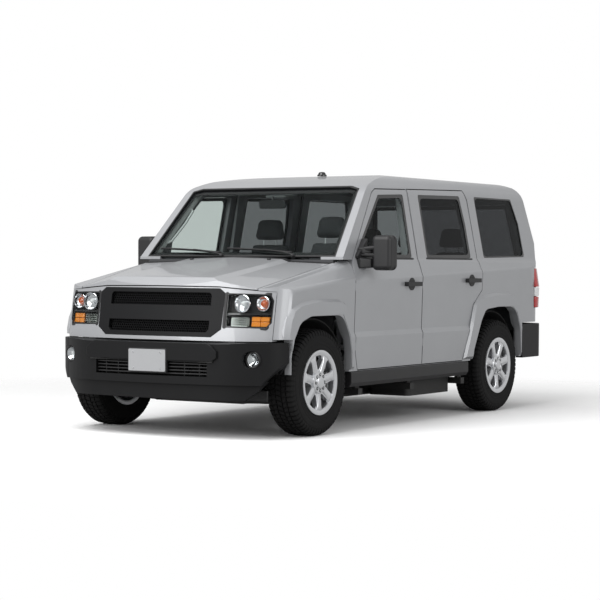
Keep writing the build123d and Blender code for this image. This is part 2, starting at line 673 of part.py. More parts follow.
with BuildPart() as grille_solid:
    add(front_envelope(-6, BODY_BOTTOM_Z))
    add(front_envelope(26, BODY_BOTTOM_Z - 150), mode=Mode.SUBTRACT)
    add(cross_prism(GRILLE, 1900, 2400, -SEAT_GAP), mode=Mode.INTERSECT)
GRILLE_OPENING = [(-430, 768), (430, 768), (452, 790), (452, 1036), (434, 1054), (-434, 1054),
                  (-452, 1036), (-452, 790)]
GRILLE_BAR_LOW_Z = 852.0
GRILLE_BAR_HIGH_Z = 962.0
with BuildPart() as grille_bar:
    add(grille_solid.part)
    add(cross_prism(GRILLE_OPENING, 1900, 2400, 4), mode=Mode.INTERSECT)
    add(block(1900, 2400, -470, 470, 700, GRILLE_BAR_LOW_Z), mode=Mode.SUBTRACT)
    add(block(1900, 2400, -470, 470, GRILLE_BAR_HIGH_Z, 1100), mode=Mode.SUBTRACT)
with BuildPart() as grille:
    add(grille_solid.part)
    add(cross_prism(GRILLE_OPENING, 1900, 2400), mode=Mode.SUBTRACT)
    add(grille_bar.part)
write(grille, "grille")

LENS_REACH = 260.0
LENS_INSET = 3.0
LAMP_LENSES = [
    (2060, 686, 976, 70), (2010, 829, 978, 56), (2060, 640, 862, 34),
    (2060, 716, 862, 34), (2010, 800, 862, 30), (2000, 862, 866, 28),
]
with BuildPart() as lamp_shell:
    add(front_envelope(16, BODY_BOTTOM_Z))
    add(front_envelope(40, BODY_BOTTOM_Z - 150), mode=Mode.SUBTRACT)
with BuildPart() as headlamps:
    add(lamp_shell.part)
    add(cross_prism(LAMP, 1900, 2400, -SEAT_GAP), mode=Mode.INTERSECT)
    for lamp_x, lamp_y, lamp_z, lamp_r in LAMP_LENSES:
        add(rod((lamp_x, lamp_y, lamp_z), (lamp_x + LENS_REACH, lamp_y + 14, lamp_z), lamp_r))
    add(front_envelope(LENS_INSET, BODY_BOTTOM_Z), mode=Mode.INTERSECT)
    mirror(about=Plane.XZ)
write(headlamps, "headlamps")

# ---------------------------------------------------------------- bumpers, rockers, tail lamps

BUMPER_LOW_Z = 285.0
BUMPER_WALL = 26.0
BUMPER_ARCH_X = 2022.0
LIP_TOP_Z = 396.0
LIP_STEP = 24.0
BUMPER_CORNER = [(760, BUMPER_LOW_Z), (850, 356), (HALF_WIDTH, 560), (HALF_WIDTH, 800)]


def front_bumper_plan(inset):
    """Plan outline of the front bumper, moved in by inset."""
    half = [
        (HALF_LENGTH - 38, 520),
        (HALF_LENGTH - 78, 700),
        (HALF_LENGTH - 150, 850),
        (HALF_LENGTH - 222, 944),
        (BUMPER_ARCH_X, HALF_WIDTH - 2),
    ]
    with BuildSketch(Plane.XY.offset(BUMPER_LOW_Z)) as plan:
        with BuildLine():
            bowed_edge(HALF_LENGTH, half)
            Line(half[-1], (BUMPER_ARCH_X, -half[-1][1]))
        make_face()
        if inset > 0:
            offset(amount=-inset, kind=Kind.INTERSECTION, mode=Mode.REPLACE)
    return plan.sketch


with BuildPart() as lip_core:
    add(front_bumper_plan(LIP_STEP + BUMPER_WALL))
    extrude(amount=LIP_TOP_Z + LIP_STEP - BUMPER_LOW_Z)
with BuildPart() as bumper_core:
    add(front_bumper_plan(BUMPER_WALL))
    extrude(amount=BUMPER_TOP_Z)
    add(block(1900, 2500, -1100, 1100, LIP_TOP_Z + LIP_STEP, BUMPER_TOP_Z - BUMPER_WALL), mode=Mode.INTERSECT)
    add(lip_core.part)
with BuildPart() as bumper_lip:
    add(front_bumper_plan(LIP_STEP))
    extrude(amount=LIP_TOP_Z - BUMPER_LOW_Z)

FOG_Y = 820.0
FOG_Z = 580.0
FOG_R = 62.0
with BuildPart() as front_bumper:
    add(front_bumper_plan(0))
    extrude(amount=BUMPER_TOP_Z - BUMPER_LOW_Z)
    add(block(1900, 2500, -1100, 1100, 200, LIP_TOP_Z), mode=Mode.SUBTRACT)
    add(bumper_lip.part)
    add(cross_prism(BUMPER_CORNER + [(-y, z) for y, z in BUMPER_CORNER[::-1]], 1900, 2500), mode=Mode.INTERSECT)
    with BuildSketch(Plane.XZ):
        with BuildLine():
            Polyline((1900, BUMPER_LOW_Z + 60), (2120, BUMPER_LOW_Z), (HALF_LENGTH + 1, BUMPER_LOW_Z),
                     (HALF_LENGTH + 1, 650), (HALF_LENGTH - 18, 684), (HALF_LENGTH - 120, BUMPER_TOP_Z),
                     (2060, BUMPER_TOP_Z), (1900, 738), close=True)
        make_face()
    extrude(amount=HALF_WIDTH + 100, both=True, mode=Mode.INTERSECT)
    add(bumper_core.part, mode=Mode.SUBTRACT)
    add(block(2100, 2500, -500, 500, 452, 560), mode=Mode.SUBTRACT)
    add(block(1900, 2076, -934, 934, 200, 800), mode=Mode.SUBTRACT)
    with BuildSketch(cross_plane(2120)):
        with Locations((FOG_Y, FOG_Z), (-FOG_Y, FOG_Z)):
            Circle(FOG_R)
    extrude(amount=300, mode=Mode.SUBTRACT)
    add(nose_panel.part, mode=Mode.SUBTRACT)
    add(front_fender_left.part, mode=Mode.SUBTRACT)
    add(mirror(front_fender_left.part, about=Plane.XZ, mode=Mode.PRIVATE), mode=Mode.SUBTRACT)
write(front_bumper, "front_bumper")

with BuildPart() as fog_core:
    add(front_bumper_plan(44))
    extrude(amount=BUMPER_TOP_Z)
with BuildPart() as fog_lamps:
    add(front_bumper_plan(12))
    extrude(amount=BUMPER_TOP_Z)
    add(fog_core.part, mode=Mode.SUBTRACT)
    with BuildSketch(cross_plane(2120)):
        with Locations((FOG_Y, FOG_Z), (-FOG_Y, FOG_Z)):
            Circle(FOG_R - SEAT_GAP)
    extrude(amount=300, mode=Mode.INTERSECT)
write(fog_lamps, "fog_lamps")


REAR_BUMPER_X = BODY_TAIL_X - SEAT_GAP


def rear_bumper_plan(inset):
    """Plan outline of the rear bumper, moved in by inset."""
    half = [
        (-HALF_LENGTH + 22, 620),
        (-HALF_LENGTH + 38, 760),
        (-HALF_LENGTH + 68, 880),
        (-HALF_LENGTH + 116, 960),
        (-HALF_LENGTH + 210, HALF_WIDTH),
    ]
    with BuildSketch(Plane.XY.offset(440)) as plan:
        with BuildLine():
            bowed_edge(-HALF_LENGTH, half)
            Polyline(half[-1], (REAR_BUMPER_X, HALF_WIDTH + 4), (REAR_BUMPER_X, -HALF_WIDTH - 4),
                     (half[-1][0], -half[-1][1]))
        make_face()
        if inset > 0:
            offset(amount=-inset, kind=Kind.INTERSECTION, mode=Mode.REPLACE)
    return plan.sketch


with BuildPart() as rear_bumper_core:
    add(rear_bumper_plan(BUMPER_WALL))
    extrude(amount=270)
with BuildPart() as rear_bumper:
    add(rear_bumper_plan(0))
    extrude(amount=296)
    add(rear_bumper_core.part, mode=Mode.SUBTRACT)
    add(block(-2200, -1700, -940, 940, 300, 800), mode=Mode.SUBTRACT)
    add(tailgate.part, mode=Mode.SUBTRACT)
    add(body_side_left.part, mode=Mode.SUBTRACT)
    add(mirror(body_side_left.part, about=Plane.XZ, mode=Mode.PRIVATE), mode=Mode.SUBTRACT)
write(rear_bumper, "rear_bumper")

with BuildPart() as tail_lamps:
    add(cabin_shell.part)
    add(block(-2400, TAIL_LAMP_X - SEAT_GAP, 862 + SEAT_GAP, 1100,
              TAIL_LAMP_LOW_Z + SEAT_GAP, TAIL_LAMP_HIGH_Z - SEAT_GAP), mode=Mode.INTERSECT)
    mirror(about=Plane.XZ)
write(tail_lamps, "tail_lamps")

ROCKER_OUT_Y = 996.0
ROCKER_IN_Y = 930.0


def rocker(x0, x1):
    """Left sill cover between two stations."""
    with BuildPart() as sill:
        with BuildSketch(cross_plane(x0)):
            with BuildLine():
                Polyline((ROCKER_IN_Y, ROCKER_BOTTOM_Z), (ROCKER_OUT_Y - 20, ROCKER_BOTTOM_Z),
                         (ROCKER_OUT_Y, ROCKER_BOTTOM_Z + 30), (ROCKER_OUT_Y, BODY_BOTTOM_Z - 14),
                         (ROCKER_OUT_Y - 8, BODY_BOTTOM_Z - SEAT_GAP),
                         (ROCKER_IN_Y, BODY_BOTTOM_Z - SEAT_GAP), close=True)
            make_face()
        extrude(amount=x1 - x0)
    return sill.part


with BuildPart() as rocker_left:
    add(rocker(ROCKER_REAR_X, ROCKER_FRONT_X))
write(rocker_left, "rocker_left")

RAMP_X0 = RAMP_X - RAMP_WIDTH / 2
RAMP_X1 = RAMP_X + RAMP_WIDTH / 2
MOUTH_GAP = 8.0
with BuildPart() as rocker_right:
    add(mirror(rocker(ROCKER_REAR_X, ROCKER_FRONT_X), about=Plane.XZ, mode=Mode.PRIVATE))
    add(block(RAMP_X0 - MOUTH_GAP, RAMP_X1 + MOUTH_GAP, -1100, -900, 300, RAMP_TOP_Z + MOUTH_GAP),
        mode=Mode.SUBTRACT)
write(rocker_right, "rocker_right")

# ---------------------------------------------------------------- floor and frame

FLOOR_LOW_Z = FLOOR_TOP_Z - FLOOR_T
FLOOR_HALF = 928.0
WHEELHOUSE_IN_Y = 722.0
WHEELHOUSE_TOP_Z = 922.0
WHEELHOUSE_REAR_X = -1864.0
STEP_X = -820.0
LINER_R = 470.0
LINER_T = 8.0
STRUT_Y = 685.0

with BuildPart() as floor_pan:
    add(cabin_shell.part)
    add(block(1150, 1300, -860, 860, FLOOR_LOW_Z, 1296), mode=Mode.INTERSECT)
    add(block(STEP_X, 1192, -FLOOR_HALF, FLOOR_HALF, FLOOR_LOW_Z, FLOOR_TOP_Z))
    add(block(STEP_X - 12, STEP_X, -FLOOR_HALF, FLOOR_HALF, FLOOR_LOW_Z, CARGO_FLOOR_Z))
    add(block(-2215, STEP_X, -WHEELHOUSE_IN_Y, WHEELHOUSE_IN_Y, CARGO_FLOOR_Z - 20, CARGO_FLOOR_Z))
    for side in (-1, 1):
        side_y0 = side * WHEELHOUSE_IN_Y
        side_y1 = side * FLOOR_HALF
        add(block(WHEELHOUSE_REAR_X, STEP_X, side_y0, side_y0 + side * 10, CARGO_FLOOR_Z - 20, WHEELHOUSE_TOP_Z))
        add(block(WHEELHOUSE_REAR_X, STEP_X, side_y0, side_y1, WHEELHOUSE_TOP_Z - 10, WHEELHOUSE_TOP_Z))
        add(block(WHEELHOUSE_REAR_X, WHEELHOUSE_REAR_X + 10, side_y0, side_y1, CARGO_FLOOR_Z - 20,
                  WHEELHOUSE_TOP_Z))
        add(block(STEP_X - 12, STEP_X, side_y0, side_y1, FLOOR_LOW_Z, WHEELHOUSE_TOP_Z))
        add(block(-2080, WHEELHOUSE_REAR_X, side_y0 - side * 10, side_y1, CARGO_FLOOR_Z - 20, CARGO_FLOOR_Z))
        add(rod((FRONT_AXLE_X, side * 556, TYRE_R), (FRONT_AXLE_X, side * 960, TYRE_R), LINER_R + SEAT_GAP),
            mode=Mode.SUBTRACT)
write(floor_pan, "floor_pan")

with BuildPart() as wheel_liners:
    for axle_x, y_in in ((FRONT_AXLE_X, 560), (REAR_AXLE_X, WHEELHOUSE_IN_Y + 10 + SEAT_GAP)):
        with BuildSketch(side_plane(y_in)):
            with Locations((axle_x, TYRE_R)):
                Circle(LINER_R)
                Circle(LINER_R - LINER_T, mode=Mode.SUBTRACT)
        extrude(amount=-(926 - y_in))
    split(bisect_by=Plane.XY.offset(TYRE_R + 76))
    add(rod((FRONT_AXLE_X, STRUT_Y, 700), (FRONT_AXLE_X, STRUT_Y, 900), 32), mode=Mode.SUBTRACT)
    mirror(about=Plane.XZ)
write(wheel_liners, "wheel_liners")

FRAME_TOP_MID = 318.0
FRAME_TOP_END = 600.0


def frame_rail(y):
    """One box-section rail that rises over both axles."""
    with BuildPart() as rail:
        with BuildSketch(side_plane(y + RAIL_W / 2)):
            with BuildLine():
                Polyline(
                    (2150, FRAME_TOP_END), (1460, FRAME_TOP_END), (1210, FRAME_TOP_MID),
                    (-840, FRAME_TOP_MID), (-1040, FRAME_TOP_END + 60), (-2270, FRAME_TOP_END + 60),
                    (-2270, FRAME_TOP_END - 60), (-1080, FRAME_TOP_END - 60),
                    (-880, FRAME_TOP_MID - RAIL_H), (1250, FRAME_TOP_MID - RAIL_H),
                    (1500, FRAME_TOP_END - RAIL_H), (2150, FRAME_TOP_END - RAIL_H), close=True)
            make_face()
        extrude(amount=RAIL_W)
    return rail.part


with BuildPart() as chassis_frame:
    add(frame_rail(RAIL_HALF_SPACING))
    add(frame_rail(-RAIL_HALF_SPACING))
    for x, z in ((2115, 540), (1000, 258), (300, 258), (-790, 258), (-2200, 600)):
        with Locations((x, 0, z)):
            Box(70, 2 * RAIL_HALF_SPACING, 60)
    for x in (940, 120, -760):
        for side in (-1, 1):
            with Locations((x, side * 700, 290)):
                Box(60, 520, 50)
            with Locations((x, side * 915, (265 + FLOOR_LOW_Z) / 2)):
                Box(60, 30, FLOOR_LOW_Z - 265)
    for side in (-1, 1):
        with Locations((-1180, side * RAIL_HALF_SPACING, 660)):
            Box(60, 60, CARGO_FLOOR_Z - 20 - 640)
        with Locations((-2150, side * RAIL_HALF_SPACING, 660)):
            Box(60, 60, CARGO_FLOOR_Z - 20 - 640)
        with Locations((2142, side * RAIL_HALF_SPACING, 540)):
            Box(40, 80, 120)
        with Locations((2252, side * RAIL_HALF_SPACING, 600)):
            Box(180, 60, 60)
    with Locations((2330, 0, 600)):
        Box(24, 1100, 90)
    add(block(-2340, -2200, -HITCH_HALF, HITCH_HALF, HITCH_Z, HITCH_Z + HITCH_T))
    add(block(-2235, -2165, -HITCH_HALF, HITCH_HALF, HITCH_Z, 580))
    add(rod((HITCH_X, 0, HITCH_Z - 10), (HITCH_X, 0, HITCH_Z + HITCH_T + 10), HITCH_HOLE_R), mode=Mode.SUBTRACT)
    add(front_bumper.part, mode=Mode.SUBTRACT)
write(chassis_frame, "chassis_frame")

# ---------------------------------------------------------------- running gear


def wheel_plane(x, y):
    """Plane at a wheel centre whose local X is the radius and whose Z runs out along -Y."""
    return Plane((x, y, TYRE_R), x_dir=(1, 0, 0), z_dir=(0, 0, 1))


def wheel_ring(points, x, side):
    """Ring round a wheel's axle from (offset outwards, radius) points."""
    with BuildPart() as ring:
        with BuildSketch(wheel_plane(x, side * WHEEL_Y)):
            with BuildLine():
                Polyline(*[(r, side * w) for w, r in points], close=True)
            make_face()
        revolve(axis=Axis((x, side * WHEEL_Y, TYRE_R), (0, 1, 0)))
    return ring.part


TYRE_SECTION = [
    (-110, BEAD_R + SEAT_GAP), (-112, RIM_R + 3), (-119, 290), (-118, 330), (-108, 372), (-86, TYRE_R - 3),
    (0, TYRE_R), (86, TYRE_R - 3), (108, 372), (118, 330), (119, 290), (112, RIM_R + 3),
    (110, BEAD_R + SEAT_GAP), (92, BEAD_R + SEAT_GAP), (92, 250), (102, 310), (94, 366), (0, 378),
    (-94, 366), (-102, 310), (-92, 250), (-92, BEAD_R + SEAT_GAP),
]
RIM_SECTION = [
    (-122, RIM_R), (-113, RIM_R), (-113, BEAD_R), (-84, BEAD_R), (-60, 196), (30, 196), (60, BEAD_R),
    (113, BEAD_R), (113, RIM_R), (122, RIM_R), (122, RIM_R - 8), (116, BEAD_R - 10), (64, BEAD_R - 10),
    (34, 186), (-64, 186), (-88, BEAD_R - 10), (-118, BEAD_R - 10), (-122, RIM_R - 8),
]
DISC_SECTION = [
    (-22, 0), (-22, 78), (40, 84), (64, 150), (84, BEAD_R - 8), (112, BEAD_R - 8), (108, 150), (98, 70),
    (112, 62), (112, 0),
]
WINDOW_IN_R = 98.0
WINDOW_OUT_R = 194.0


def rim(x, side):
    """Cast rim with seven spokes."""
    centre = (x, side * WHEEL_Y, TYRE_R)
    with BuildPart() as wheel:
        add(wheel_ring(RIM_SECTION, x, side))
        add(wheel_ring(DISC_SECTION, x, side))
        with BuildSketch(Plane((x, side * (WHEEL_Y + 20), TYRE_R), x_dir=(1, 0, 0), z_dir=(0, side, 0))):
            with PolarLocations(0, SPOKES, start_angle=90 + 180 / SPOKES):
                Polygon((WINDOW_IN_R, 9), (WINDOW_IN_R, -9), (WINDOW_OUT_R, -60),
                        (WINDOW_OUT_R + 8, 0), (WINDOW_OUT_R, 60), align=None)
        extrude(amount=120, mode=Mode.SUBTRACT)
        with BuildSketch(Plane((x, side * (WHEEL_Y + 90), TYRE_R), x_dir=(1, 0, 0), z_dir=(0, side, 0))):
            with PolarLocations(STUD_CIRCLE_R, STUDS):
                Circle(7)
        extrude(amount=60, mode=Mode.SUBTRACT)
    return wheel.part


WHEELS = [
    ("front_left", FRONT_AXLE_X, 1), ("front_right", FRONT_AXLE_X, -1),
    ("rear_left", REAR_AXLE_X, 1), ("rear_right", REAR_AXLE_X, -1),
]
for wheel_name, wheel_x, wheel_side in WHEELS:
    with BuildPart() as tyre:
        add(wheel_ring(TYRE_SECTION, wheel_x, wheel_side))
    write(tyre, "tyre_" + wheel_name)
    with BuildPart() as wheel_rim:
        add(rim(wheel_x, wheel_side))
    write(wheel_rim, "rim_" + wheel_name)

HUB_FACE = WHEEL_Y - 22 - SEAT_GAP
ARM_TOP_Z = 240.0
BALL_TOP_Z = 285.0
for side_name, side in (("left", 1), ("right", -1)):
    with BuildPart() as knuckle:
        add(rod((FRONT_AXLE_X, side * 790, TYRE_R), (FRONT_AXLE_X, side * HUB_FACE, TYRE_R), 66))
        add(rod((FRONT_AXLE_X, side * 812, TYRE_R), (FRONT_AXLE_X, side * 836, TYRE_R), 150))
        with Locations((FRONT_AXLE_X, side * 778, TYRE_R - 5)):
            Box(56, 50, 250)
        with Locations((FRONT_AXLE_X - 85, side * 780, TYRE_R - 30)):
            Box(150, 34, 40)
        with Locations((FRONT_AXLE_X, side * KINGPIN_Y, (ARM_TOP_Z + SEAT_GAP + BALL_TOP_Z) / 2)):
            Cylinder(KINGPIN_R, BALL_TOP_Z - ARM_TOP_Z - SEAT_GAP)
    write(knuckle, "knuckle_" + side_name)

with BuildPart() as front_suspension:
    with Locations((FRONT_AXLE_X, 0, 257)):
        Box(240, 800, 80)
    for side in (-1, 1):
        with BuildSketch(Plane.XY.offset(ARM_TOP_Z - 18)):
            with BuildLine():
                Polyline((FRONT_AXLE_X + 150, side * 360), (FRONT_AXLE_X + 30, side * 660),
                         (FRONT_AXLE_X + 26, side * 820), (FRONT_AXLE_X - 26, side * 820),
                         (FRONT_AXLE_X - 30, side * 660), (FRONT_AXLE_X - 150, side * 360), close=True)
            make_face()
        extrude(amount=18)
        add(rod((FRONT_AXLE_X, side * STRUT_Y, 232), (FRONT_AXLE_X, side * STRUT_Y, 876), 26))
        with Locations((FRONT_AXLE_X, side * 600, 872)):
            Box(200, 240, 12)
        with Locations((FRONT_AXLE_X, side * 486, 740)):
            Box(200, 14, 260)
        with Locations((FRONT_AXLE_X, side * 425, 616)):
            Box(200, 136, 31)
        with Locations((FRONT_AXLE_X, side * 425, 388)):
            Box(70, 50, 184)
write(front_suspension, "front_suspension")

with BuildPart() as rear_axle:
    add(rod((REAR_AXLE_X, -(HUB_FACE), TYRE_R), (REAR_AXLE_X, HUB_FACE, TYRE_R), 42))
    with Locations((REAR_AXLE_X, 0, TYRE_R)):
        Sphere(130)
    for side in (-1, 1):
        add(rod((REAR_AXLE_X, side * 790, TYRE_R), (REAR_AXLE_X, side * 806, TYRE_R), 150))
        add(rod((REAR_AXLE_X, side * 840, TYRE_R), (REAR_AXLE_X, side * HUB_FACE, TYRE_R), 66))
        with BuildSketch(side_plane(side * 560 + 32)):
            with BuildLine():
                ThreePointArc((REAR_AXLE_X - 620, 470), (REAR_AXLE_X, 330), (REAR_AXLE_X + 500, 440))
                Line((REAR_AXLE_X + 500, 440), (REAR_AXLE_X + 500, 462))
                ThreePointArc((REAR_AXLE_X + 500, 462), (REAR_AXLE_X, 356), (REAR_AXLE_X - 620, 492))
                Line((REAR_AXLE_X - 620, 492), (REAR_AXLE_X - 620, 470))
            make_face()
        extrude(amount=64)
        for hanger_x in (REAR_AXLE_X + 480, REAR_AXLE_X - 600):
            with Locations((hanger_x, side * (RAIL_HALF_SPACING + RAIL_W / 2 + 58), 540)):
                Box(50, 116, 190)
    add(rod((REAR_AXLE_X + 60, 0, TYRE_R - 6), (-640, 0, 282), 32))
    add(rod((-640, 0, 282), (1330, 0, 262), 32))
    with Locations((-790, 0, 302)):
        Box(90, 90, 30)
    add(chassis_frame.part, mode=Mode.SUBTRACT)
write(rear_axle, "rear_axle")

with BuildPart() as engine_block:
    with Locations((1600, 0, 700)):
        Box(560, 520, 520)
    with Locations((1330, 0, 330)):
        Box(300, 240, 240)
    with Locations((1420, 0, 430)):
        Box(200, 400, 60)
    add(front_suspension.part, mode=Mode.SUBTRACT)
    add(rear_axle.part, mode=Mode.SUBTRACT)
    add(floor_pan.part, mode=Mode.SUBTRACT)
    add(chassis_frame.part, mode=Mode.SUBTRACT)
write(engine_block, "engine_block")

with BuildPart() as exhaust_system:
    add(rod((1180, -250, 232), (-1900, -250, 170), 26))
    add(rod((-1560, -250, 176), (-2080, -250, 166), 80))
    add(rod((-2080, -250, 166), (-2310, -250, 300), 26))
    add(rod((1180, -250, 232), (1330, -170, 300), 26))
    for x, z in ((900, 222), (-700, 196)):
        with Locations((x, -340, z)):
            Box(30, 200, 12)
    add(engine_block.part, mode=Mode.SUBTRACT)
    add(chassis_frame.part, mode=Mode.SUBTRACT)
    add(rear_axle.part, mode=Mode.SUBTRACT)
write(exhaust_system, "exhaust_system")

TANK_LOW_Z = 200.0
with BuildPart() as fuel_tank:
    with Locations((-330, 690, (TANK_LOW_Z + FLOOR_LOW_Z - SEAT_GAP) / 2)):
        Box(720, 380, FLOOR_LOW_Z - TANK_LOW_Z - SEAT_GAP)
    fillet(fuel_tank.edges().filter_by(Axis.Z), 50)
    add(chassis_frame.part, mode=Mode.SUBTRACT)
write(fuel_tank, "fuel_tank")

# ---------------------------------------------------------------- ramp

PIVOT_Y = 220.0
PIVOT_Z = RAMP_TOP_Z - RAMP_T / 2
RAMP_END_Y = -HALF_WIDTH + 2
PIVOT_R = 15.0
PIN_R = 5.0
TABS = (-0.38, 0.0, 0.38)
with BuildPart() as ramp_cassette:
    with Locations((RAMP_X, -330, FLOOR_LOW_Z - SEAT_GAP - 2)):
        Box(RAMP_WIDTH + 40, 1190, 4)
    for side in (-1, 1):
        with Locations((RAMP_X + side * (RAMP_WIDTH / 2 + 13), -330, FLOOR_LOW_Z - 36)):
            Box(8, 1190, 72 - 2 * SEAT_GAP)
        with Locations((RAMP_X + side * (RAMP_WIDTH / 2 + 8), -330, RAMP_TOP_Z - RAMP_T - SEAT_GAP - 4)):
            Box(16, 1190, 8)
    with Locations((RAMP_X, 290, FLOOR_LOW_Z - 36)):
        Box(RAMP_WIDTH + 40, 8, 72 - 2 * SEAT_GAP)
write(ramp_cassette, "ramp_cassette")

with BuildPart() as ramp_carriage:
    with Locations((RAMP_X, PIVOT_Y + 42, PIVOT_Z)):
        Box(RAMP_WIDTH - 4, 40, RAMP_T)
    for side in (-1, 1):
        with Locations((RAMP_X + side * (RAMP_WIDTH / 2 - 1), PIVOT_Y + 42, PIVOT_Z)):
            Box(12, 40, RAMP_T)
    add(rod((RAMP_X0 + 20, PIVOT_Y, PIVOT_Z), (RAMP_X1 - 20, PIVOT_Y, PIVOT_Z), PIN_R))
    for share in TABS:
        with Locations((RAMP_X + share * RAMP_WIDTH, PIVOT_Y + 10, PIVOT_Z)):
            Box(20, 34, 2 * PIN_R + 4)
write(ramp_carriage, "ramp_carriage")

with BuildPart() as ramp_plate:
    with BuildSketch(Plane.YZ.offset(RAMP_X0 + 6)):
        with BuildLine():
            Polyline((PIVOT_Y, PIVOT_Z - PIVOT_R), (PIVOT_Y, PIVOT_Z + PIVOT_R),
                     (RAMP_END_Y + 14, PIVOT_Z + PIVOT_R), (RAMP_END_Y, PIVOT_Z + PIVOT_R - 16),
                     (RAMP_END_Y, ROCKER_BOTTOM_Z + 20), (RAMP_END_Y + 20, ROCKER_BOTTOM_Z),
                     (RAMP_END_Y + 70, PIVOT_Z - PIVOT_R), close=True)
        make_face()
    extrude(amount=RAMP_WIDTH - 12)
    add(rod((RAMP_X0 + 6, PIVOT_Y, PIVOT_Z), (RAMP_X1 - 6, PIVOT_Y, PIVOT_Z), PIVOT_R))
    add(rod((RAMP_X0, PIVOT_Y, PIVOT_Z), (RAMP_X1, PIVOT_Y, PIVOT_Z), PIN_R + SEAT_GAP), mode=Mode.SUBTRACT)
    for share in TABS:
        with Locations((RAMP_X + share * RAMP_WIDTH, PIVOT_Y, PIVOT_Z)):
            Box(34, 50, 2 * PIVOT_R + 2, mode=Mode.SUBTRACT)
    for share in (-0.5, 0.5):
        with Locations((RAMP_X + share * RAMP_WIDTH, PIVOT_Y, PIVOT_Z)):
            Box(50, 36, 2 * PIVOT_R + 2, mode=Mode.SUBTRACT)
write(ramp_plate, "ramp_plate")

# ---------------------------------------------------------------- mirrors and handles


def handle(x, z):
    """Pull handle on the left side with its round cup."""
    with BuildPart() as grip:
        add(rod((x, 960, z), (x, 1003, z), 50))
        with Locations((x, 1026, z)):
            Box(232, 16, 34)
        for dx in (-98, 98):
            with Locations((x + dx, 1000, z)):
                Box(34, 64, 34)
    return grip.part


with BuildPart() as mirror_housing:
    with Locations((858, 1112, 1350)):
        Box(110, 168, 266)
    fillet(mirror_housing.edges().filter_by(Axis.X), 40)
    fillet(mirror_housing.edges().group_by(Axis.X)[-1], 36)

with BuildPart() as front_door_trim_left:
    add(side_prism(MIRROR_BASE, -1, 0, 880, 972))
    add(rod((950, 955, 1376), (880, 1080, 1392), 17))
    add(rod((950, 955, 1336), (880, 1080, 1330), 17))
    add(mirror_housing.part)
    add(handle(203, 1107))
    add(CABIN_OUTER, mode=Mode.SUBTRACT)
write(front_door_trim_left, "front_door_trim_left")

with BuildPart() as rear_door_trim_left:
    add(handle(-846, 1129))
    add(CABIN_OUTER, mode=Mode.SUBTRACT)
write(rear_door_trim_left, "rear_door_trim_left")

# ---------------------------------------------------------------- interior

with BuildPart() as dashboard:
    with BuildSketch(side_plane(858)):
        with BuildLine():
            Polyline((1168, 1270), (1120, 1296), (1010, 1280), (962, 1225), (975, 1110), (1040, 1030),
                     (1070, 840), (1168, 840), close=True)
        make_face()
    extrude(amount=1716)
    add(CABIN_INNER, mode=Mode.INTERSECT)
    add(body_side_left.part, mode=Mode.SUBTRACT)
    add(mirror(body_side_left.part, about=Plane.XZ, mode=Mode.PRIVATE), mode=Mode.SUBTRACT)
write(dashboard, "dashboard")

STEER_X = 925.0
STEER_Y = 420.0
STEER_Z = 1110.0
STEER_TILT = 24.0
with BuildPart() as steering_wheel:
    column = Plane((STEER_X, STEER_Y, STEER_Z), x_dir=(0, 1, 0),
                   z_dir=(-math.cos(math.radians(STEER_TILT)), 0, math.sin(math.radians(STEER_TILT))))
    with Locations(column):
        Torus(180, 15)
        Cylinder(52, 40)
    for angle in (0, 180, 270):
        with BuildSketch(column.offset(-6)):
            with PolarLocations(0, 1, start_angle=angle):
                with Locations((105, 0)):
                    Rectangle(150, 36)
        extrude(amount=12)
    with BuildSketch(column):
        Circle(32)
    extrude(amount=-90)
    add(dashboard.part, mode=Mode.SUBTRACT)
write(steering_wheel, "steering_wheel")


def seat(x, y, width, floor_z, cushion_z, back_top_z, head_z):
    """One seat facing forward, whose back meets the cushion at x."""
    with BuildPart() as chair:
        with BuildSketch(side_plane(y + width / 2)):
            with Locations((x + 240, cushion_z + 62)):
                RectangleRounded(480, 124, 40)
        extrude(amount=width)
        with BuildSketch(side_plane(y + width / 2 - 6)) as back:
            with BuildLine():
                Polyline((x - 50, cushion_z + 20), (x + 70, cushion_z + 20), (x - 40, back_top_z),
                         (x - 130, back_top_z - 10), close=True)
            make_face()
            fillet(back.vertices(), 30)
        extrude(amount=width - 12)
        with Locations((x - 92, y, head_z)):
            Box(84, min(270, width * 0.6), 150)
        for dy in (-60, 60):
            add(rod((x - 92, y + dy, back_top_z - 60), (x - 92, y + dy, head_z), 7))
        with Locations((x + 215, y, (floor_z + cushion_z) / 2 + 1)):
            Box(330, width - 110, cushion_z - floor_z + 2)
        split(bisect_by=Plane.XY.offset(floor_z))
    return chair.part


with BuildPart() as driver_seat:
    add(seat(570, 420, 500, FLOOR_TOP_Z + SEAT_GAP, 690, 1440, 1550))
write(driver_seat, "driver_seat")
with BuildPart() as passenger_seat:
    add(seat(180, -420, 480, FLOOR_TOP_Z + SEAT_GAP, 690, 1430, 1540))
write(passenger_seat, "passenger_seat")
with BuildPart() as rear_bench:
    for seat_y in (-420, 0, 420):
        add(seat(-1500, seat_y, 414, CARGO_FLOOR_Z + SEAT_GAP, 830, 1380, 1490))
write(rear_bench, "rear_bench")

# ---------------------------------------------------------------- right-hand copies

LEFT_PIECES = [
    (body_side_left, "body_side_right"), (front_door_left, "front_door_right"),
    (rear_door_left, "rear_door_right"), (front_fender_left, "front_fender_right"),
    (front_door_glass_left, "front_door_glass_right"), (rear_door_glass_left, "rear_door_glass_right"),
    (front_door_trim_left, "front_door_trim_right"), (rear_door_trim_left, "rear_door_trim_right"),
]
for left_piece, right_name in LEFT_PIECES:
    with BuildPart() as right_piece:
        add(mirror(left_piece.part, about=Plane.XZ, mode=Mode.PRIVATE))
    write(right_piece, right_name)
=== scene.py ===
"""Dressed model of the wheelchair accessible van, built round its fixed CAD frame."""
import json
import logging
import math
from dataclasses import dataclass
from enum import Enum
from typing import Callable, Sequence

import bmesh
import bpy
from mathutils import Matrix, Vector


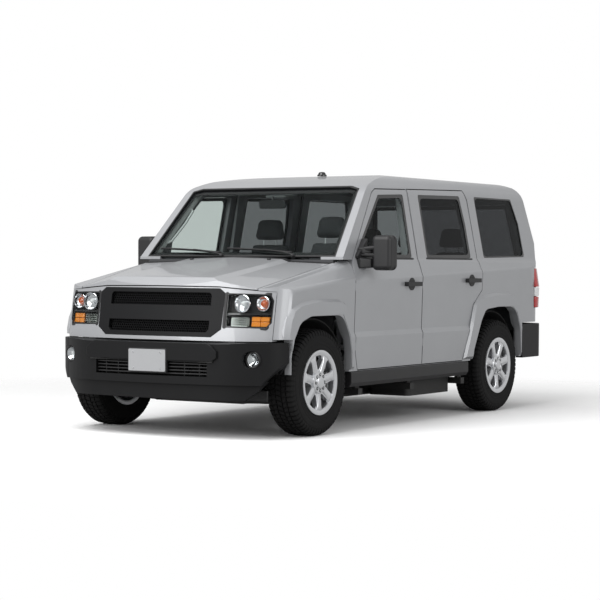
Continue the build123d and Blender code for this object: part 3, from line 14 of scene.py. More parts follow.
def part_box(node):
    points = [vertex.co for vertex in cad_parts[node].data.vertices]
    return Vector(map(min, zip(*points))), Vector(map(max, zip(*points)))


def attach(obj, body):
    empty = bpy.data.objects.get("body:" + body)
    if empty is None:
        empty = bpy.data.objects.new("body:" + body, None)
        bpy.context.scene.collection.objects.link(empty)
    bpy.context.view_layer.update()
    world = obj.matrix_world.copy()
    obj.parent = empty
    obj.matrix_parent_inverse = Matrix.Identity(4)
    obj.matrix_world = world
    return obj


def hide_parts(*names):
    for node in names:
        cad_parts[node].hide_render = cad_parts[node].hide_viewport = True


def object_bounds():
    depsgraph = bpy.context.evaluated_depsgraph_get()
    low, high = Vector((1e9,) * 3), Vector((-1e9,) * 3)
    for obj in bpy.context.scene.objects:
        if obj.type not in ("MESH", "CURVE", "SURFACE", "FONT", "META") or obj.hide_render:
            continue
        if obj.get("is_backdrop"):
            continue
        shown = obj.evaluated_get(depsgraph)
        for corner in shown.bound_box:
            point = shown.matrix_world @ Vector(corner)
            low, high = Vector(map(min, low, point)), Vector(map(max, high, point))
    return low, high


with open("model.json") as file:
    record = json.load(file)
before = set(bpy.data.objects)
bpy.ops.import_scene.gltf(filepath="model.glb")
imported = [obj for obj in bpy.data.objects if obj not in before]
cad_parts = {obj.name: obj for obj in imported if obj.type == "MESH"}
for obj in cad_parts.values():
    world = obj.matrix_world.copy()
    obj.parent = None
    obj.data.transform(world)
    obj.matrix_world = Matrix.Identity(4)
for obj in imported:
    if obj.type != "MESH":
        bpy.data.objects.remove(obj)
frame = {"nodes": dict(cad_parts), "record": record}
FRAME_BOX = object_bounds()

LOG = logging.getLogger("van")
Point2 = tuple[float, float]
Point3 = tuple[float, float, float]
Outline = tuple[Point2, ...]
SIDES: tuple[tuple[str, int], ...] = (("left", 1), ("right", -1))


# ---------------------------------------------------------------- places and outlines, in metres
# BODY_SECTION holds (z, y) points, the two PLAN tables (y, x) points and TAIL_LAMP_PLAN (x, y) points. Doors, arches
# and side glass are drawn in (x, z), the screen, tailgate glass and lamps in (y, z).

FRONT_AXLE_X, REAR_AXLE_X = 1.598, -1.348
WHEEL_Y = 0.883
TYRE_RADIUS = 0.394
SCREEN_FOOT, SCREEN_HEAD = (1.182, 1.320), (0.661, 1.872)
GATE_FOOT, GATE_HEAD = (-2.268, 1.290), (-2.120, 1.905)
NOSE_TOP = (2.216, 1.102)
NOSE_LEAN = 0.175
MIDDLE_X, MIDDLE_BOW = 2.3765, 0.0968
CARD_TOP_Z = 1.270
BODY_SECTION: Outline = (
    (0.455, 0.992), (0.712, 1.003), (0.750, 0.987), (1.130, 1.000), (1.300, 0.950), (1.862, 0.846), (1.968, 0.770),
)
NOSE_PLAN: Outline = (
    (0.0, 0.0), (0.25, -0.0075), (0.5, -0.029), (0.69, -0.062), (0.88, -0.128), (0.966, -0.205), (1.003, -0.330),
)
BUMPER_PLAN: Outline = (
    (0.0, 2.370), (0.26, 2.3605), (0.52, 2.332), (0.70, 2.292), (0.85, 2.220), (0.944, 2.148), (0.998, 2.022),
)
FRONT_DOOR: Outline = (
    (1.043, 0.461), (1.083, 0.590), (1.083, 1.144), (1.058, 1.296), (0.603, 1.822), (0.541, 1.852),
    (0.029, 1.864), (0.023, 1.300), (0.020, 0.461))
REAR_DOOR: Outline = (
    (0.016, 0.461), (0.016, 1.866), (-0.975, 1.888), (-1.012, 1.800), (-1.036, 1.300), (-1.050, 1.150),
    (-1.044, 1.046), (-0.888, 0.926), (-0.811, 0.724), (-0.690, 0.461))
FRONT_ARCH: Outline = (
    (1.160, 0.470), (1.159, 0.600), (1.190, 0.730), (1.290, 0.888), (1.740, 0.888), (1.890, 0.845), (1.975, 0.725),
    (2.014, 0.600), (2.014, 0.470))
REAR_ARCH: Outline = (
    (-0.835, 0.470), (-0.865, 0.550), (-1.000, 0.792), (-1.085, 0.886), (-1.325, 0.904), (-1.600, 0.902),
    (-1.695, 0.850), (-1.772, 0.700), (-1.785, 0.470))
FRONT_GLASS: Outline = ((0.112, 1.310), (0.858, 1.318), (0.858, 1.466), (0.512, 1.806), (0.104, 1.822))
REAR_GLASS: Outline = ((-0.142, 1.310), (-0.146, 1.826), (-0.880, 1.838), (-0.918, 1.600), (-0.926, 1.316))
QUARTER_GLASS: Outline = ((-1.168, 1.318), (-1.152, 1.840), (-1.872, 1.840), (-1.960, 1.620), (-1.976, 1.330))
SCREEN: Outline = (
    (-0.878, 1.318), (0.878, 1.318), (0.786, 1.852), (0.700, 1.874), (-0.700, 1.874), (-0.786, 1.852))
TAILGATE_GLASS: Outline = ((-0.760, 1.290), (0.760, 1.290), (0.694, 1.800), (-0.694, 1.800))
LAMP_LOW: Outline = ((0.572, 0.806), (0.880, 0.800), (0.910, 0.840), (0.912, 0.900))
LAMP_HIGH: Outline = ((0.572, 1.052), (0.890, 1.046), (0.912, 1.000))
LAMP: Outline = (*LAMP_LOW[:3], *reversed(LAMP_HIGH))
LAMP_FRAME: Outline = ((0.560, 0.796), (0.884, 0.790), (0.920, 0.834), (0.922, 1.004), (0.898, 1.056), (0.560, 1.062))
TAIL_LAMP_PLAN: Outline = (
    (-2.098, 0.950), (-2.098, 0.996), (-2.132, 1.003), (-2.172, 0.997), (-2.216, 0.962), (-2.262, 0.900),
    (-2.274, 0.868), (-2.246, 0.866), (-2.196, 0.912), (-2.130, 0.944))


def along(table: Sequence[Point2], at: float) -> float:
    """Read a value from a table of (place, value) pairs, in straight steps.

    Args:
        table: Pairs in rising order of place.
        at: The place to read.

    Returns:
        The value there, held at the table's ends.
    """
    if at <= table[0][0]:
        return table[0][1]
    for (x0, y0), (x1, y1) in zip(table, table[1:]):
        if at <= x1:
            return y0 + (y1 - y0) * (at - x0) / (x1 - x0)
    return table[-1][1]


def side_skin(u: float, v: float) -> Point3:
    """Point of the left body side at (x, z) = (u, v)."""
    return (u, along(BODY_SECTION, v), v)


def sloped(foot: Point2, head: Point2, z: float) -> float:
    """Read x at a height on the leaning plane through two (x, z) points."""
    return foot[0] + (head[0] - foot[0]) * (z - foot[1]) / (head[1] - foot[1])


def screen_skin(u: float, v: float) -> Point3:
    """Point of the windscreen plane at (y, z) = (u, v)."""
    return (sloped(SCREEN_FOOT, SCREEN_HEAD, v), u, v)


def gate_skin(u: float, v: float) -> Point3:
    """Point of the tailgate's upper plane at (y, z) = (u, v)."""
    return (sloped(GATE_FOOT, GATE_HEAD, v), u, v)


def nose_skin(u: float, v: float) -> Point3:
    """Point of the nose at (y, z) = (u, v)."""
    return (NOSE_TOP[0] - NOSE_LEAN * (v - NOSE_TOP[1]) + along(NOSE_PLAN, abs(u)), u, v)


def bumper_skin(u: float, v: float) -> Point3:
    """Point of the front bumper's face at (y, z) = (u, v)."""
    return (along(BUMPER_PLAN, abs(u)), u, v)


def middle_skin(u: float, v: float) -> Point3:
    """Point of the raised bumper middle's face at (y, z) = (u, v)."""
    return (MIDDLE_X - MIDDLE_BOW * u * u, u, v)


Skin = Callable[[float, float], Point3]
OUT: dict[Skin, Vector] = {
    side_skin: Vector((0, 1, 0.18)).normalized(), screen_skin: Vector((0.73, 0, 0.69)).normalized(),
    gate_skin: Vector((-0.97, 0, 0.23)).normalized(), nose_skin: Vector((1, 0, 0.17)).normalized(),
    bumper_skin: Vector((1, 0, 0)), middle_skin: Vector((1, 0, 0)),
}


# ---------------------------------------------------------------- finishes


class Pattern(Enum):
    """What breaks up a finish."""

    GRAIN = "grain"
    WEAVE = "weave"
    BRUSHED = "brushed"


@dataclass(frozen=True)
class Finish:
    """An opaque finish whose colour, gloss and relief change a little over the surface."""

    name: str
    colour: Point3
    roughness: float
    metallic: float = 0.0
    coat: float = 0.0
    coat_roughness: float = 0.03
    pattern: Pattern = Pattern.GRAIN
    scale: float = 60.0
    relief: float = 0.05
    variation: float = 0.12
    dust: float = 0.0
    specular: float = 0.5


@dataclass(frozen=True)
class GlassFinish:
    """A see-through finish of a pane or a lens."""

    name: str
    tint: Point3
    roughness: float = 0.02
    clear: float = 1.0
    ior: float = 1.45


PAINT = Finish("silver_paint", (0.345, 0.352, 0.366), 0.40, 0.35, 0.5, 0.05, Pattern.GRAIN, 900.0, 0.006, 0.05, 0.10)
BUMPER = Finish("bumper_plastic", (0.0068, 0.0069, 0.0075), 0.44, scale=420.0, relief=0.04, dust=0.01, specular=0.20)
GRILLE = Finish("grille_plastic", (0.0062, 0.0064, 0.0072), 0.46, scale=300.0, relief=0.04, specular=0.18)
BLACK = Finish("black_trim", (0.010, 0.010, 0.011), 0.48, scale=380.0, relief=0.05, dust=0.06)
GLOSS = Finish("gloss_black", (0.006, 0.006, 0.007), 0.12, coat=0.4, scale=200.0, relief=0.01)
# Liner black also paints the shade behind the grille, the intake and the spoke windows.
LINER = Finish("liner_felt", (0.005, 0.005, 0.005), 0.92, scale=160.0, relief=0.25, dust=0.05)
# Seal black also paints the shade of the wheel-nut pockets.
SEAL = Finish("seal_rubber", (0.007, 0.007, 0.0075), 0.55, scale=260.0, relief=0.05)
CHROME = Finish("lamp_bright", (0.80, 0.81, 0.83), 0.10, 1.0, scale=50.0, relief=0.01, variation=0.05)
LAMP_GREY = Finish("lamp_grey", (0.30, 0.32, 0.30), 0.24, 0.9, scale=60.0, relief=0.01, variation=0.05)
RED = Finish("tail_red", (0.42, 0.012, 0.012), 0.14, coat=0.8, scale=90.0, relief=0.04)
RUBY = Finish("ruby_lens", (0.55, 0.10, 0.02), 0.12, coat=0.8, scale=90.0, relief=0.03)
AMBER = Finish("amber_lens", (0.85, 0.27, 0.015), 0.16, coat=0.7, scale=120.0, relief=0.05)
WHITE_LENS = Finish("white_lens", (0.75, 0.76, 0.76), 0.12, coat=0.8, scale=120.0, relief=0.05)
FLOOR_METAL = Finish("floor_metal", (0.055, 0.056, 0.06), 0.6, 0.2, scale=140.0, relief=0.1)
FRAME = Finish("frame_black", (0.010, 0.010, 0.010), 0.5, 0.1, scale=130.0, relief=0.15, dust=0.08)
DASH = Finish("dash_grain", (0.020, 0.0205, 0.022), 0.62, scale=520.0, relief=0.08)
CLOTH = Finish("seat_cloth", (0.030, 0.031, 0.034), 0.95, pattern=Pattern.WEAVE, scale=420.0, relief=0.35,
               variation=0.3)
CARPET = Finish("carpet", (0.022, 0.022, 0.024), 0.98, scale=700.0, relief=0.5, variation=0.35)
LINING = Finish("pale_lining", (0.62, 0.63, 0.63), 0.8, scale=420.0, relief=0.12, variation=0.06)
HEAD_LINING = Finish("head_lining", (0.24, 0.245, 0.25), 0.9, scale=500.0, relief=0.15, variation=0.06)
IRON = Finish("cast_iron", (0.09, 0.09, 0.092), 0.62, 0.6, scale=110.0, relief=0.3, dust=0.2)
EXHAUST = Finish("exhaust_steel", (0.30, 0.28, 0.26), 0.42, 0.9, pattern=Pattern.BRUSHED, scale=80.0, dust=0.2)
TANK = Finish("tank_plastic", (0.008, 0.008, 0.008), 0.6, scale=90.0, relief=0.12, dust=0.06)
DISC = Finish("brake_iron", (0.30, 0.30, 0.30), 0.36, 0.9, pattern=Pattern.BRUSHED, scale=220.0, relief=0.06)
RAMP = Finish("ramp_aluminium", (0.52, 0.53, 0.54), 0.38, 0.85, pattern=Pattern.BRUSHED, scale=160.0, relief=0.08)
GRIP = Finish("ramp_grip", (0.02, 0.02, 0.02), 0.95, scale=900.0, relief=0.6, variation=0.4)
TYRE = Finish("tyre_rubber", (0.0040, 0.0040, 0.0043), 0.74, scale=240.0, relief=0.08, variation=0.25, dust=0.03,
              specular=0.22)
ALLOY = Finish("alloy_silver", (0.70, 0.71, 0.73), 0.30, 0.85, 0.5, 0.05, Pattern.GRAIN, 700.0, 0.01, 0.05, 0.06)
NUT = Finish("nut_steel", (0.45, 0.46, 0.47), 0.25, 1.0, scale=120.0, relief=0.02)
PLATE = Finish("plate_white", (0.37, 0.375, 0.385), 0.35, scale=60.0, relief=0.01, variation=0.03)
MIRROR = Finish("mirror_glass", (0.80, 0.82, 0.84), 0.03, 1.0, scale=10.0, relief=0.0, variation=0.02)
CLEAR = GlassFinish("clear_glass", (0.90, 0.93, 0.92), clear=0.93)
PRIVACY = GlassFinish("privacy_glass", (0.50, 0.51, 0.52), clear=0.80)
COVER = GlassFinish("lamp_cover", (0.97, 0.98, 0.98), clear=0.94)

SLOT_FINISH: dict[str, Finish | GlassFinish] = {
    "paint": PAINT, "grey_plastic": BUMPER, "grille_plastic": GRILLE, "black_plastic": BLACK,
    "liner_plastic": LINER, "lamp_chrome": CHROME, "red_lens": RED, "clear_glass": CLEAR,
    "privacy_glass": PRIVACY, "floor_metal": FLOOR_METAL, "frame_black": FRAME, "dash_plastic": DASH,
    "seat_cloth": CLOTH, "cast_iron": IRON, "exhaust_steel": EXHAUST, "tank_plastic": TANK,
    "brake_iron": DISC, "ramp_metal": RAMP, "tyre": TYRE, "alloy": ALLOY,
}


DUST_COLOUR = (0.20, 0.185, 0.165, 1.0)
GLASS_DARK, GLASS_LIGHT = (0.010, 0.011, 0.012, 1.0), (0.022, 0.024, 0.025, 1.0)
GLOSS_SPREAD = 0.12
BUMP_DEPTH = 0.0004


def new_node(tree: bpy.types.NodeTree, kind: str, inputs: dict[str | int, object] | None = None,
             **settings: object) -> bpy.types.Node:
    """Add a node to a tree.

    Args:
        tree: Where it goes.
        kind: Its type.
        inputs: Values for its own sockets, by name or number.
        **settings: Values for its properties, set before the sockets.

    Returns:
        The node.
    """
    made = tree.nodes.new(kind)
    for label, value in settings.items():
        setattr(made, label, value)
    for label, value in (inputs or {}).items():
        made.inputs[label].default_value = value
    return made


def wire(tree: bpy.types.NodeTree, *links: tuple[bpy.types.Node, str | int, bpy.types.Node, str | int]) -> None:
    """Make links, each given as a node, its output, the next node and its input."""
    for start, output, end, entry in links:
        tree.links.new(start.outputs[output], end.inputs[entry])


class ShaderGroups:
    """The shader node groups that the finishes share."""

    def __init__(self) -> None:
        """Build every group once."""
        self.grain = self._grain()
        self.weave = self._weave()
        self.brushed = self._brushed()
        self.dust = self._dust()

    @staticmethod
    def _open(name: str, inputs: Sequence[tuple[str, float]], outputs: Sequence[str]) -> tuple:
        """Start a group with named number sockets.

        Args:
            name: The group's name.
            inputs: Input names with their defaults.
            outputs: Output names.

        Returns:
            The tree, its input node and its output node.
        """
        tree = bpy.data.node_groups.new(name, "ShaderNodeTree")
        for label, value in inputs:
            socket = tree.interface.new_socket(name=label, in_out="INPUT", socket_type="NodeSocketFloat")
            socket.default_value = value
        for label in outputs:
            tree.interface.new_socket(name=label, in_out="OUTPUT", socket_type="NodeSocketFloat")
        return tree, tree.nodes.new("NodeGroupInput"), tree.nodes.new("NodeGroupOutput")

    def _grain(self) -> bpy.types.NodeTree:
        """Fine and coarse noise: Fine for relief and gloss, Broad for colour."""
        tree, entry, leave = self._open("moulded_grain", [("Scale", 200.0)], ["Fine", "Broad"])
        place = new_node(tree, "ShaderNodeTexCoord")
        fine = new_node(tree, "ShaderNodeTexNoise", {"Detail": 3.0})
        broad = new_node(tree, "ShaderNodeTexNoise", {"Detail": 2.0, "Scale": 3.5})
        wire(tree, (place, "Object", fine, "Vector"), (place, "Object", broad, "Vector"),
             (entry, "Scale", fine, "Scale"), (fine, "Fac", leave, "Fine"), (broad, "Fac", leave, "Broad"))
        return tree

    def _weave(self) -> bpy.types.NodeTree:
        """Crossed threads of woven cloth."""
        tree, entry, leave = self._open("woven_threads", [("Scale", 300.0)], ["Fine", "Broad"])
        place = new_node(tree, "ShaderNodeTexCoord")
        both = new_node(tree, "ShaderNodeMath", operation="MULTIPLY")
        for index, direction in enumerate(("X", "Z")):
            wave = new_node(tree, "ShaderNodeTexWave", {"Distortion": 1.5}, bands_direction=direction)
            wire(tree, (place, "Object", wave, "Vector"), (entry, "Scale", wave, "Scale"), (wave, "Fac", both, index))
        broad = new_node(tree, "ShaderNodeTexNoise", {"Scale": 9.0})
        wire(tree, (place, "Object", broad, "Vector"), (both, 0, leave, "Fine"), (broad, "Fac", leave, "Broad"))
        return tree

    def _brushed(self) -> bpy.types.NodeTree:
        """Long fine scratches of brushed or turned metal."""
        tree, entry, leave = self._open("brushed_lines", [("Scale", 150.0)], ["Fine", "Broad"])
        place = new_node(tree, "ShaderNodeTexCoord")
        stretch = new_node(tree, "ShaderNodeMapping", {"Scale": (1.0, 0.05, 1.0)})
        fine = new_node(tree, "ShaderNodeTexNoise")
        broad = new_node(tree, "ShaderNodeTexNoise", {"Scale": 6.0})
        wire(tree, (place, "Object", stretch, "Vector"), (stretch, "Vector", fine, "Vector"),
             (place, "Object", broad, "Vector"), (entry, "Scale", fine, "Scale"), (fine, "Fac", leave, "Fine"),
             (broad, "Fac", leave, "Broad"))
        return tree

    def _dust(self) -> bpy.types.NodeTree:
        """Road dust that gathers low on the vehicle."""
        tree, entry, leave = self._open("road_dust", [("Height", 0.7), ("Amount", 0.2)], ["Mask"])
        place = new_node(tree, "ShaderNodeTexCoord")
        split = new_node(tree, "ShaderNodeSeparateXYZ")
        noise = new_node(tree, "ShaderNodeTexNoise", {"Scale": 14.0, "Detail": 5.0})
        low = new_node(tree, "ShaderNodeMapRange", {"From Min": 0.05, "To Min": 1.0, "To Max": 0.0})
        spread = new_node(tree, "ShaderNodeMath", operation="MULTIPLY")
        amount = new_node(tree, "ShaderNodeMath", operation="MULTIPLY")
        wire(tree, (place, "Object", split, 0), (place, "Object", noise, "Vector"), (split, "Z", low, "Value"),
             (entry, "Height", low, "From Max"), (low, "Result", spread, 0), (noise, "Fac", spread, 1),
             (spread, 0, amount, 0), (entry, "Amount", amount, 1), (amount, 0, leave, "Mask"))
        return tree


class Paintshop:
    """Makes each finish's material once."""

    def __init__(self) -> None:
        """Start with the shared groups and no materials."""
        self.groups = ShaderGroups()
        self.made: dict[str, bpy.types.Material] = {}

    def of(self, finish: Finish | GlassFinish) -> bpy.types.Material:
        """Give a finish's material.

        Args:
            finish: The finish wanted.

        Returns:
            Its material, made on first use.
        """
        if finish.name not in self.made:
            build = self._glass if isinstance(finish, GlassFinish) else self._solid
            self.made[finish.name] = build(finish)
        return self.made[finish.name]

    def _solid(self, finish: Finish) -> bpy.types.Material:
        """Material of an opaque finish."""
        material = bpy.data.materials.new(finish.name)
        material.use_nodes = True
        tree = material.node_tree
        shader = tree.nodes["Principled BSDF"]
        shader.inputs["Metallic"].default_value = finish.metallic
        shader.inputs["Coat Weight"].default_value = finish.coat
        shader.inputs["Coat Roughness"].default_value = finish.coat_roughness
        shader.inputs["Specular IOR Level"].default_value = finish.specular
        kinds = {Pattern.GRAIN: self.groups.grain, Pattern.WEAVE: self.groups.weave,
                 Pattern.BRUSHED: self.groups.brushed}
        grain = new_node(tree, "ShaderNodeGroup", {"Scale": finish.scale}, node_tree=kinds[finish.pattern])
        dark = tuple(c * (1.0 - finish.variation) for c in finish.colour)
        light = tuple(min(1.0, c * (1.0 + finish.variation)) for c in finish.colour)
        shade = new_node(tree, "ShaderNodeMix", {"A": (*dark, 1.0), "B": (*light, 1.0)}, data_type="RGBA")
        gloss = new_node(tree, "ShaderNodeMapRange", {"To Min": finish.roughness * (1.0 - GLOSS_SPREAD),
                                                      "To Max": min(1.0, finish.roughness * (1.0 + GLOSS_SPREAD))})
        wire(tree, (grain, "Broad", shade, "Factor"), (grain, "Fine", gloss, "Value"),
             (gloss, "Result", shader, "Roughness"))
        coloured = shade
        if finish.dust > 0:
            dust = new_node(tree, "ShaderNodeGroup", {"Amount": finish.dust}, node_tree=self.groups.dust)
            coloured = new_node(tree, "ShaderNodeMix", {"B": DUST_COLOUR}, data_type="RGBA")
            wire(tree, (dust, "Mask", coloured, "Factor"), (shade, "Result", coloured, "A"))
        wire(tree, (coloured, "Result", shader, "Base Color"))
        if finish.relief > 0:
            bump = new_node(tree, "ShaderNodeBump",
                            {"Strength": min(1.0, finish.relief * 2.0), "Distance": BUMP_DEPTH})
            wire(tree, (grain, "Fine", bump, "Height"), (bump, "Normal", shader, "Normal"))
        return material

    def _glass(self, finish: GlassFinish) -> bpy.types.Material:
        """Material of a pane: a tinted see-through layer under a clear gloss that grows at grazing angles."""
        material = bpy.data.materials.new(finish.name)
        material.use_nodes = True
        tree = material.node_tree
        shader = tree.nodes["Principled BSDF"]
        shader.inputs["Roughness"].default_value = finish.roughness
        shader.inputs["IOR"].default_value = finish.ior
        haze = new_node(tree, "ShaderNodeGroup", {"Scale": 6.0}, node_tree=self.groups.grain)
        shade = new_node(tree, "ShaderNodeMix", {"A": GLASS_DARK, "B": GLASS_LIGHT}, data_type="RGBA")
        through = new_node(tree, "ShaderNodeBsdfTransparent", {"Color": (*finish.tint, 1.0)})
        facing = new_node(tree, "ShaderNodeLayerWeight", {"Blend": 0.5})
        steep = new_node(tree, "ShaderNodeMath", {1: 4.0}, operation="POWER")
        share = new_node(tree, "ShaderNodeMapRange", {"To Min": 1.0 - finish.clear, "To Max": 1.0})
        mix = new_node(tree, "ShaderNodeMixShader")
        wire(tree, (haze, "Broad", shade, "Factor"), (shade, "Result", shader, "Base Color"),
             (facing, "Facing", steep, 0), (steep, 0, share, "Value"), (share, "Result", mix, "Fac"),
             (through, 0, mix, 1), (shader, 0, mix, 2), (mix, 0, tree.nodes["Material Output"], "Surface"))
        return material


# ---------------------------------------------------------------- shapes


def rounded(outline: Sequence[Point2], radius: float, steps: int = 5) -> list[Point2]:
    """Round every corner of a closed outline.

    Args:
        outline: Corner points in order.
        radius: Corner radius, cut down where an edge is short.
        steps: Pieces in each corner's arc.

    Returns:
        The points of the rounded outline.
    """
    points: list[Point2] = []
    count = len(outline)
    for index in range(count):
        here = Vector(outline[index])
        before = Vector(outline[index - 1]) - here
        after = Vector(outline[(index + 1) % count]) - here
        angle = before.angle(after)
        reach = min(radius / math.tan(angle / 2), before.length * 0.45, after.length * 0.45)
        start = here + before.normalized() * reach
        end = here + after.normalized() * reach
        for step in range(steps + 1):
            t = step / steps
            points.append(tuple(start * (1 - t) ** 2 + here * 2 * t * (1 - t) + end * t ** 2))
    return points


def shrunk(outline: Sequence[Point2], amount: float) -> list[Point2]:
    """Move a closed outline's edges inwards.

    Args:
        outline: Points in order, either way round.
        amount: Distance inwards; a negative one moves them outwards.

    Returns:
        The moved points, one for each given point.
    """
    count = len(outline)
    area = sum(outline[i - 1][0] * outline[i][1] - outline[i][0] * outline[i - 1][1] for i in range(count))
    turn = 1.0 if area > 0 else -1.0
    moved: list[Point2] = []
    for index in range(count):
        here = Vector(outline[index])
        into = here - Vector(outline[index - 1])
        out = Vector(outline[(index + 1) % count]) - here
        if into.length < 1e-9:
            into = out
        if out.length < 1e-9:
            out = into
        normal_in = Vector((-into.y, into.x)).normalized() * turn
        normal_out = Vector((-out.y, out.x)).normalized() * turn
        middle = normal_in + normal_out
        middle = middle.normalized() if middle.length > 1e-6 else normal_in
        share = max(0.4, middle.dot(normal_in))
        moved.append(tuple(here + middle * (amount / share)))
    return moved


def pane(low: Point2, high: Point2, radius: float) -> list[Point2]:
    """Outline of a rounded rectangle between two corners."""
    return rounded([low, (high[0], low[1]), high, (low[0], high[1])], radius)


def oblong(y: float, z: float, width: float, height: float, radius: float) -> list[Point2]:
    """Outline of a rounded rectangle about a middle point."""
    return pane((y - width / 2, z - height / 2), (y + width / 2, z + height / 2), radius)


def linked(name: str, data: bpy.types.ID) -> bpy.types.Object:
    """Make an object of a mesh, lamp or camera and link it to the scene."""
    obj = bpy.data.objects.new(name, data)
    bpy.context.scene.collection.objects.link(obj)
    return obj


def shade(mesh: bpy.types.Mesh, angle: float) -> None:
    """Shade a mesh smooth, with sharp edges where faces meet at more than an angle in degrees."""
    mesh.shade_smooth()
    mesh.set_sharp_from_angle(angle=math.radians(angle))


def round_edges(obj: bpy.types.Object, width: float, segments: int, angle: float) -> None:
    """Round an object's edges where faces meet at more than an angle in degrees."""
    edge = obj.modifiers.new("edge", "BEVEL")
    edge.width = width
    edge.segments = segments
    edge.limit_method = "ANGLE"
    edge.angle_limit = math.radians(angle)


BOX_FACES = ((0, 1, 3, 2), (4, 6, 7, 5), (0, 4, 5, 1), (2, 3, 7, 6), (0, 2, 6, 4), (1, 5, 7, 3))
MERGE_DISTANCE = 0.00002
CAD_WELD = 0.00005


class Shape:
    """A mesh under construction, in the vehicle's own place."""

    def __init__(self) -> None:
        """Start empty."""
        self.verts: list[Vector] = []
        self.faces: list[tuple[int, ...]] = []

    def take(self, verts: Sequence[Sequence[float]], faces: Sequence[Sequence[int]]) -> "Shape":
        """Add vertices and the faces that join them."""
        first = len(self.verts)
        self.verts += [Vector(v) for v in verts]
        self.faces += [tuple(first + i for i in f) for f in faces]
        return self

    def block(self, low: Point3, high: Point3) -> "Shape":
        """Add a box between two corners."""
        corners = [(x, y, z) for x in (low[0], high[0]) for y in (low[1], high[1]) for z in (low[2], high[2])]
        return self.take(corners, BOX_FACES)

    def loft(self, rings: Sequence[Sequence[Sequence[float]]], capped: bool = True, looped: bool = False) -> "Shape":
        """Join closed rings of points in order.

        Args:
            rings: Rings with the same number of points.
            capped: Whether to close the first and last ring.
            looped: Whether the last ring joins the first.

        Returns:
            This shape.
        """
        size = len(rings[0])
        verts = [p for ring in rings for p in ring]
        faces = []
        for r in range(len(rings) if looped else len(rings) - 1):
            other = (r + 1) % len(rings)
            for i in range(size):
                j = (i + 1) % size
                faces.append((r * size + i, r * size + j, other * size + j, other * size + i))
        if capped and not looped:
            faces.append(tuple(range(size - 1, -1, -1)))
            faces.append(tuple((len(rings) - 1) * size + i for i in range(size)))
        return self.take(verts, faces)

    def tube(self, path: Sequence[Point3], radius: float, sides: int = 12) -> "Shape":
        """Add a round bar along a path."""
        rings = []
        points = [Vector(p) for p in path]
        up = Vector((0.13, 0.31, 0.94))
        for index, point in enumerate(points):
            ahead = points[min(index + 1, len(points) - 1)] - points[max(index - 1, 0)]
            across = ahead.cross(up).normalized()
            rise = across.cross(ahead).normalized()
            rings.append([point + (across * math.cos(a) + rise * math.sin(a)) * radius
                          for a in (2 * math.pi * i / sides for i in range(sides))])
        return self.loft(rings)

    def turned(self, profile: Sequence[Point2], centre: Point3, axis: Point3, sides: int = 48) -> "Shape":
        """Add a shape turned about an axis.

        Args:
            profile: Closed profile of (distance along the axis, radius) points.
            centre: A point on the axis.
            axis: The axis direction.
            sides: Number of steps round.

        Returns:
            This shape.
        """
        way = Vector(axis).normalized()
        across = way.orthogonal().normalized()
        rise = way.cross(across)
        rings = []
        for step in range(sides):
            a = 2 * math.pi * step / sides
            out = across * math.cos(a) + rise * math.sin(a)
            rings.append([Vector(centre) + way * w + out * r for w, r in profile])
        return self.loft(rings, capped=False, looped=True)

    def laid(self, outline: Sequence[Point2], skin: Skin, low: float, high: float) -> "Shape":
        """Add a plate that lies on a skin, between two heights over it."""
        way = OUT[skin]
        return self.loft([[Vector(skin(*p)) + way * lift for p in outline] for lift in (low, high)])

    def band(self, outer: Sequence[Point2], inner: Sequence[Point2], skin: Skin, low: float, high: float) -> "Shape":
        """Add a frame that lies on a skin between two outlines with as many points."""
        way = OUT[skin]
        rings = []
        for a, b in zip(outer, inner):
            foot_a, foot_b = Vector(skin(*a)), Vector(skin(*b))
            rings.append([foot_a + way * low, foot_a + way * high, foot_b + way * high, foot_b + way * low])
        return self.loft(rings, capped=False, looped=True)

    def slab(self, y0: float, y1: float, steps: int, low_edge: Sequence[Point2], high_edge: Sequence[Point2],
             skin: Skin, low: float, high: float) -> "Shape":
        """Add a plate on a bowed skin, cut into upright strips.

        Args:
            y0: Where it starts across the vehicle.
            y1: Where it ends.
            steps: Number of strips.
            low_edge: Table of its lower edge's height at each y.
            high_edge: Table of its upper edge's height at each y.
            skin: The surface that it follows.
            low: Lift of its inner face over the skin.
            high: Lift of its outer face.

        Returns:
            This shape.
        """
        way = OUT[skin]
        rings = []
        for step in range(steps + 1):
            y = y0 + (y1 - y0) * step / steps
            bottom, top = Vector(skin(y, along(low_edge, y))), Vector(skin(y, along(high_edge, y)))
            rings.append([bottom + way * low, bottom + way * high, top + way * high, top + way * low])
        return self.loft(rings)

    def flipped(self, sign: int) -> "Shape":
        """Give this shape, or its mirror image on the right side where the sign is negative."""
        if sign > 0:
            return self
        return Shape().take([(v.x, -v.y, v.z) for v in self.verts], [tuple(reversed(f)) for f in self.faces])

    def solid(self, name: str, bevel: float = 0.0, steps: int = 2, smooth: float = 35.0) -> bpy.types.Object:
        """Turn the shape into an object with its faces outwards and its edges rounded.

        Args:
            name: The object's name.
            bevel: Width of the rounding on its edges, none at zero.
            steps: Segments in that rounding.
            smooth: Angle up to which faces shade as one surface.

        Returns:
            The object, at the origin.
        """
        mesh = bpy.data.meshes.new(name)
        mesh.from_pydata([tuple(v) for v in self.verts], [], self.faces)
        work = bmesh.new()
        work.from_mesh(mesh)
        bmesh.ops.remove_doubles(work, verts=work.verts, dist=MERGE_DISTANCE)
        bmesh.ops.recalc_face_normals(work, faces=work.faces)
        work.to_mesh(mesh)
        work.free()
        obj = linked(name, mesh)
        if bevel > 0:
            round_edges(obj, bevel, steps, 32)
        shade(mesh, smooth)
        return obj


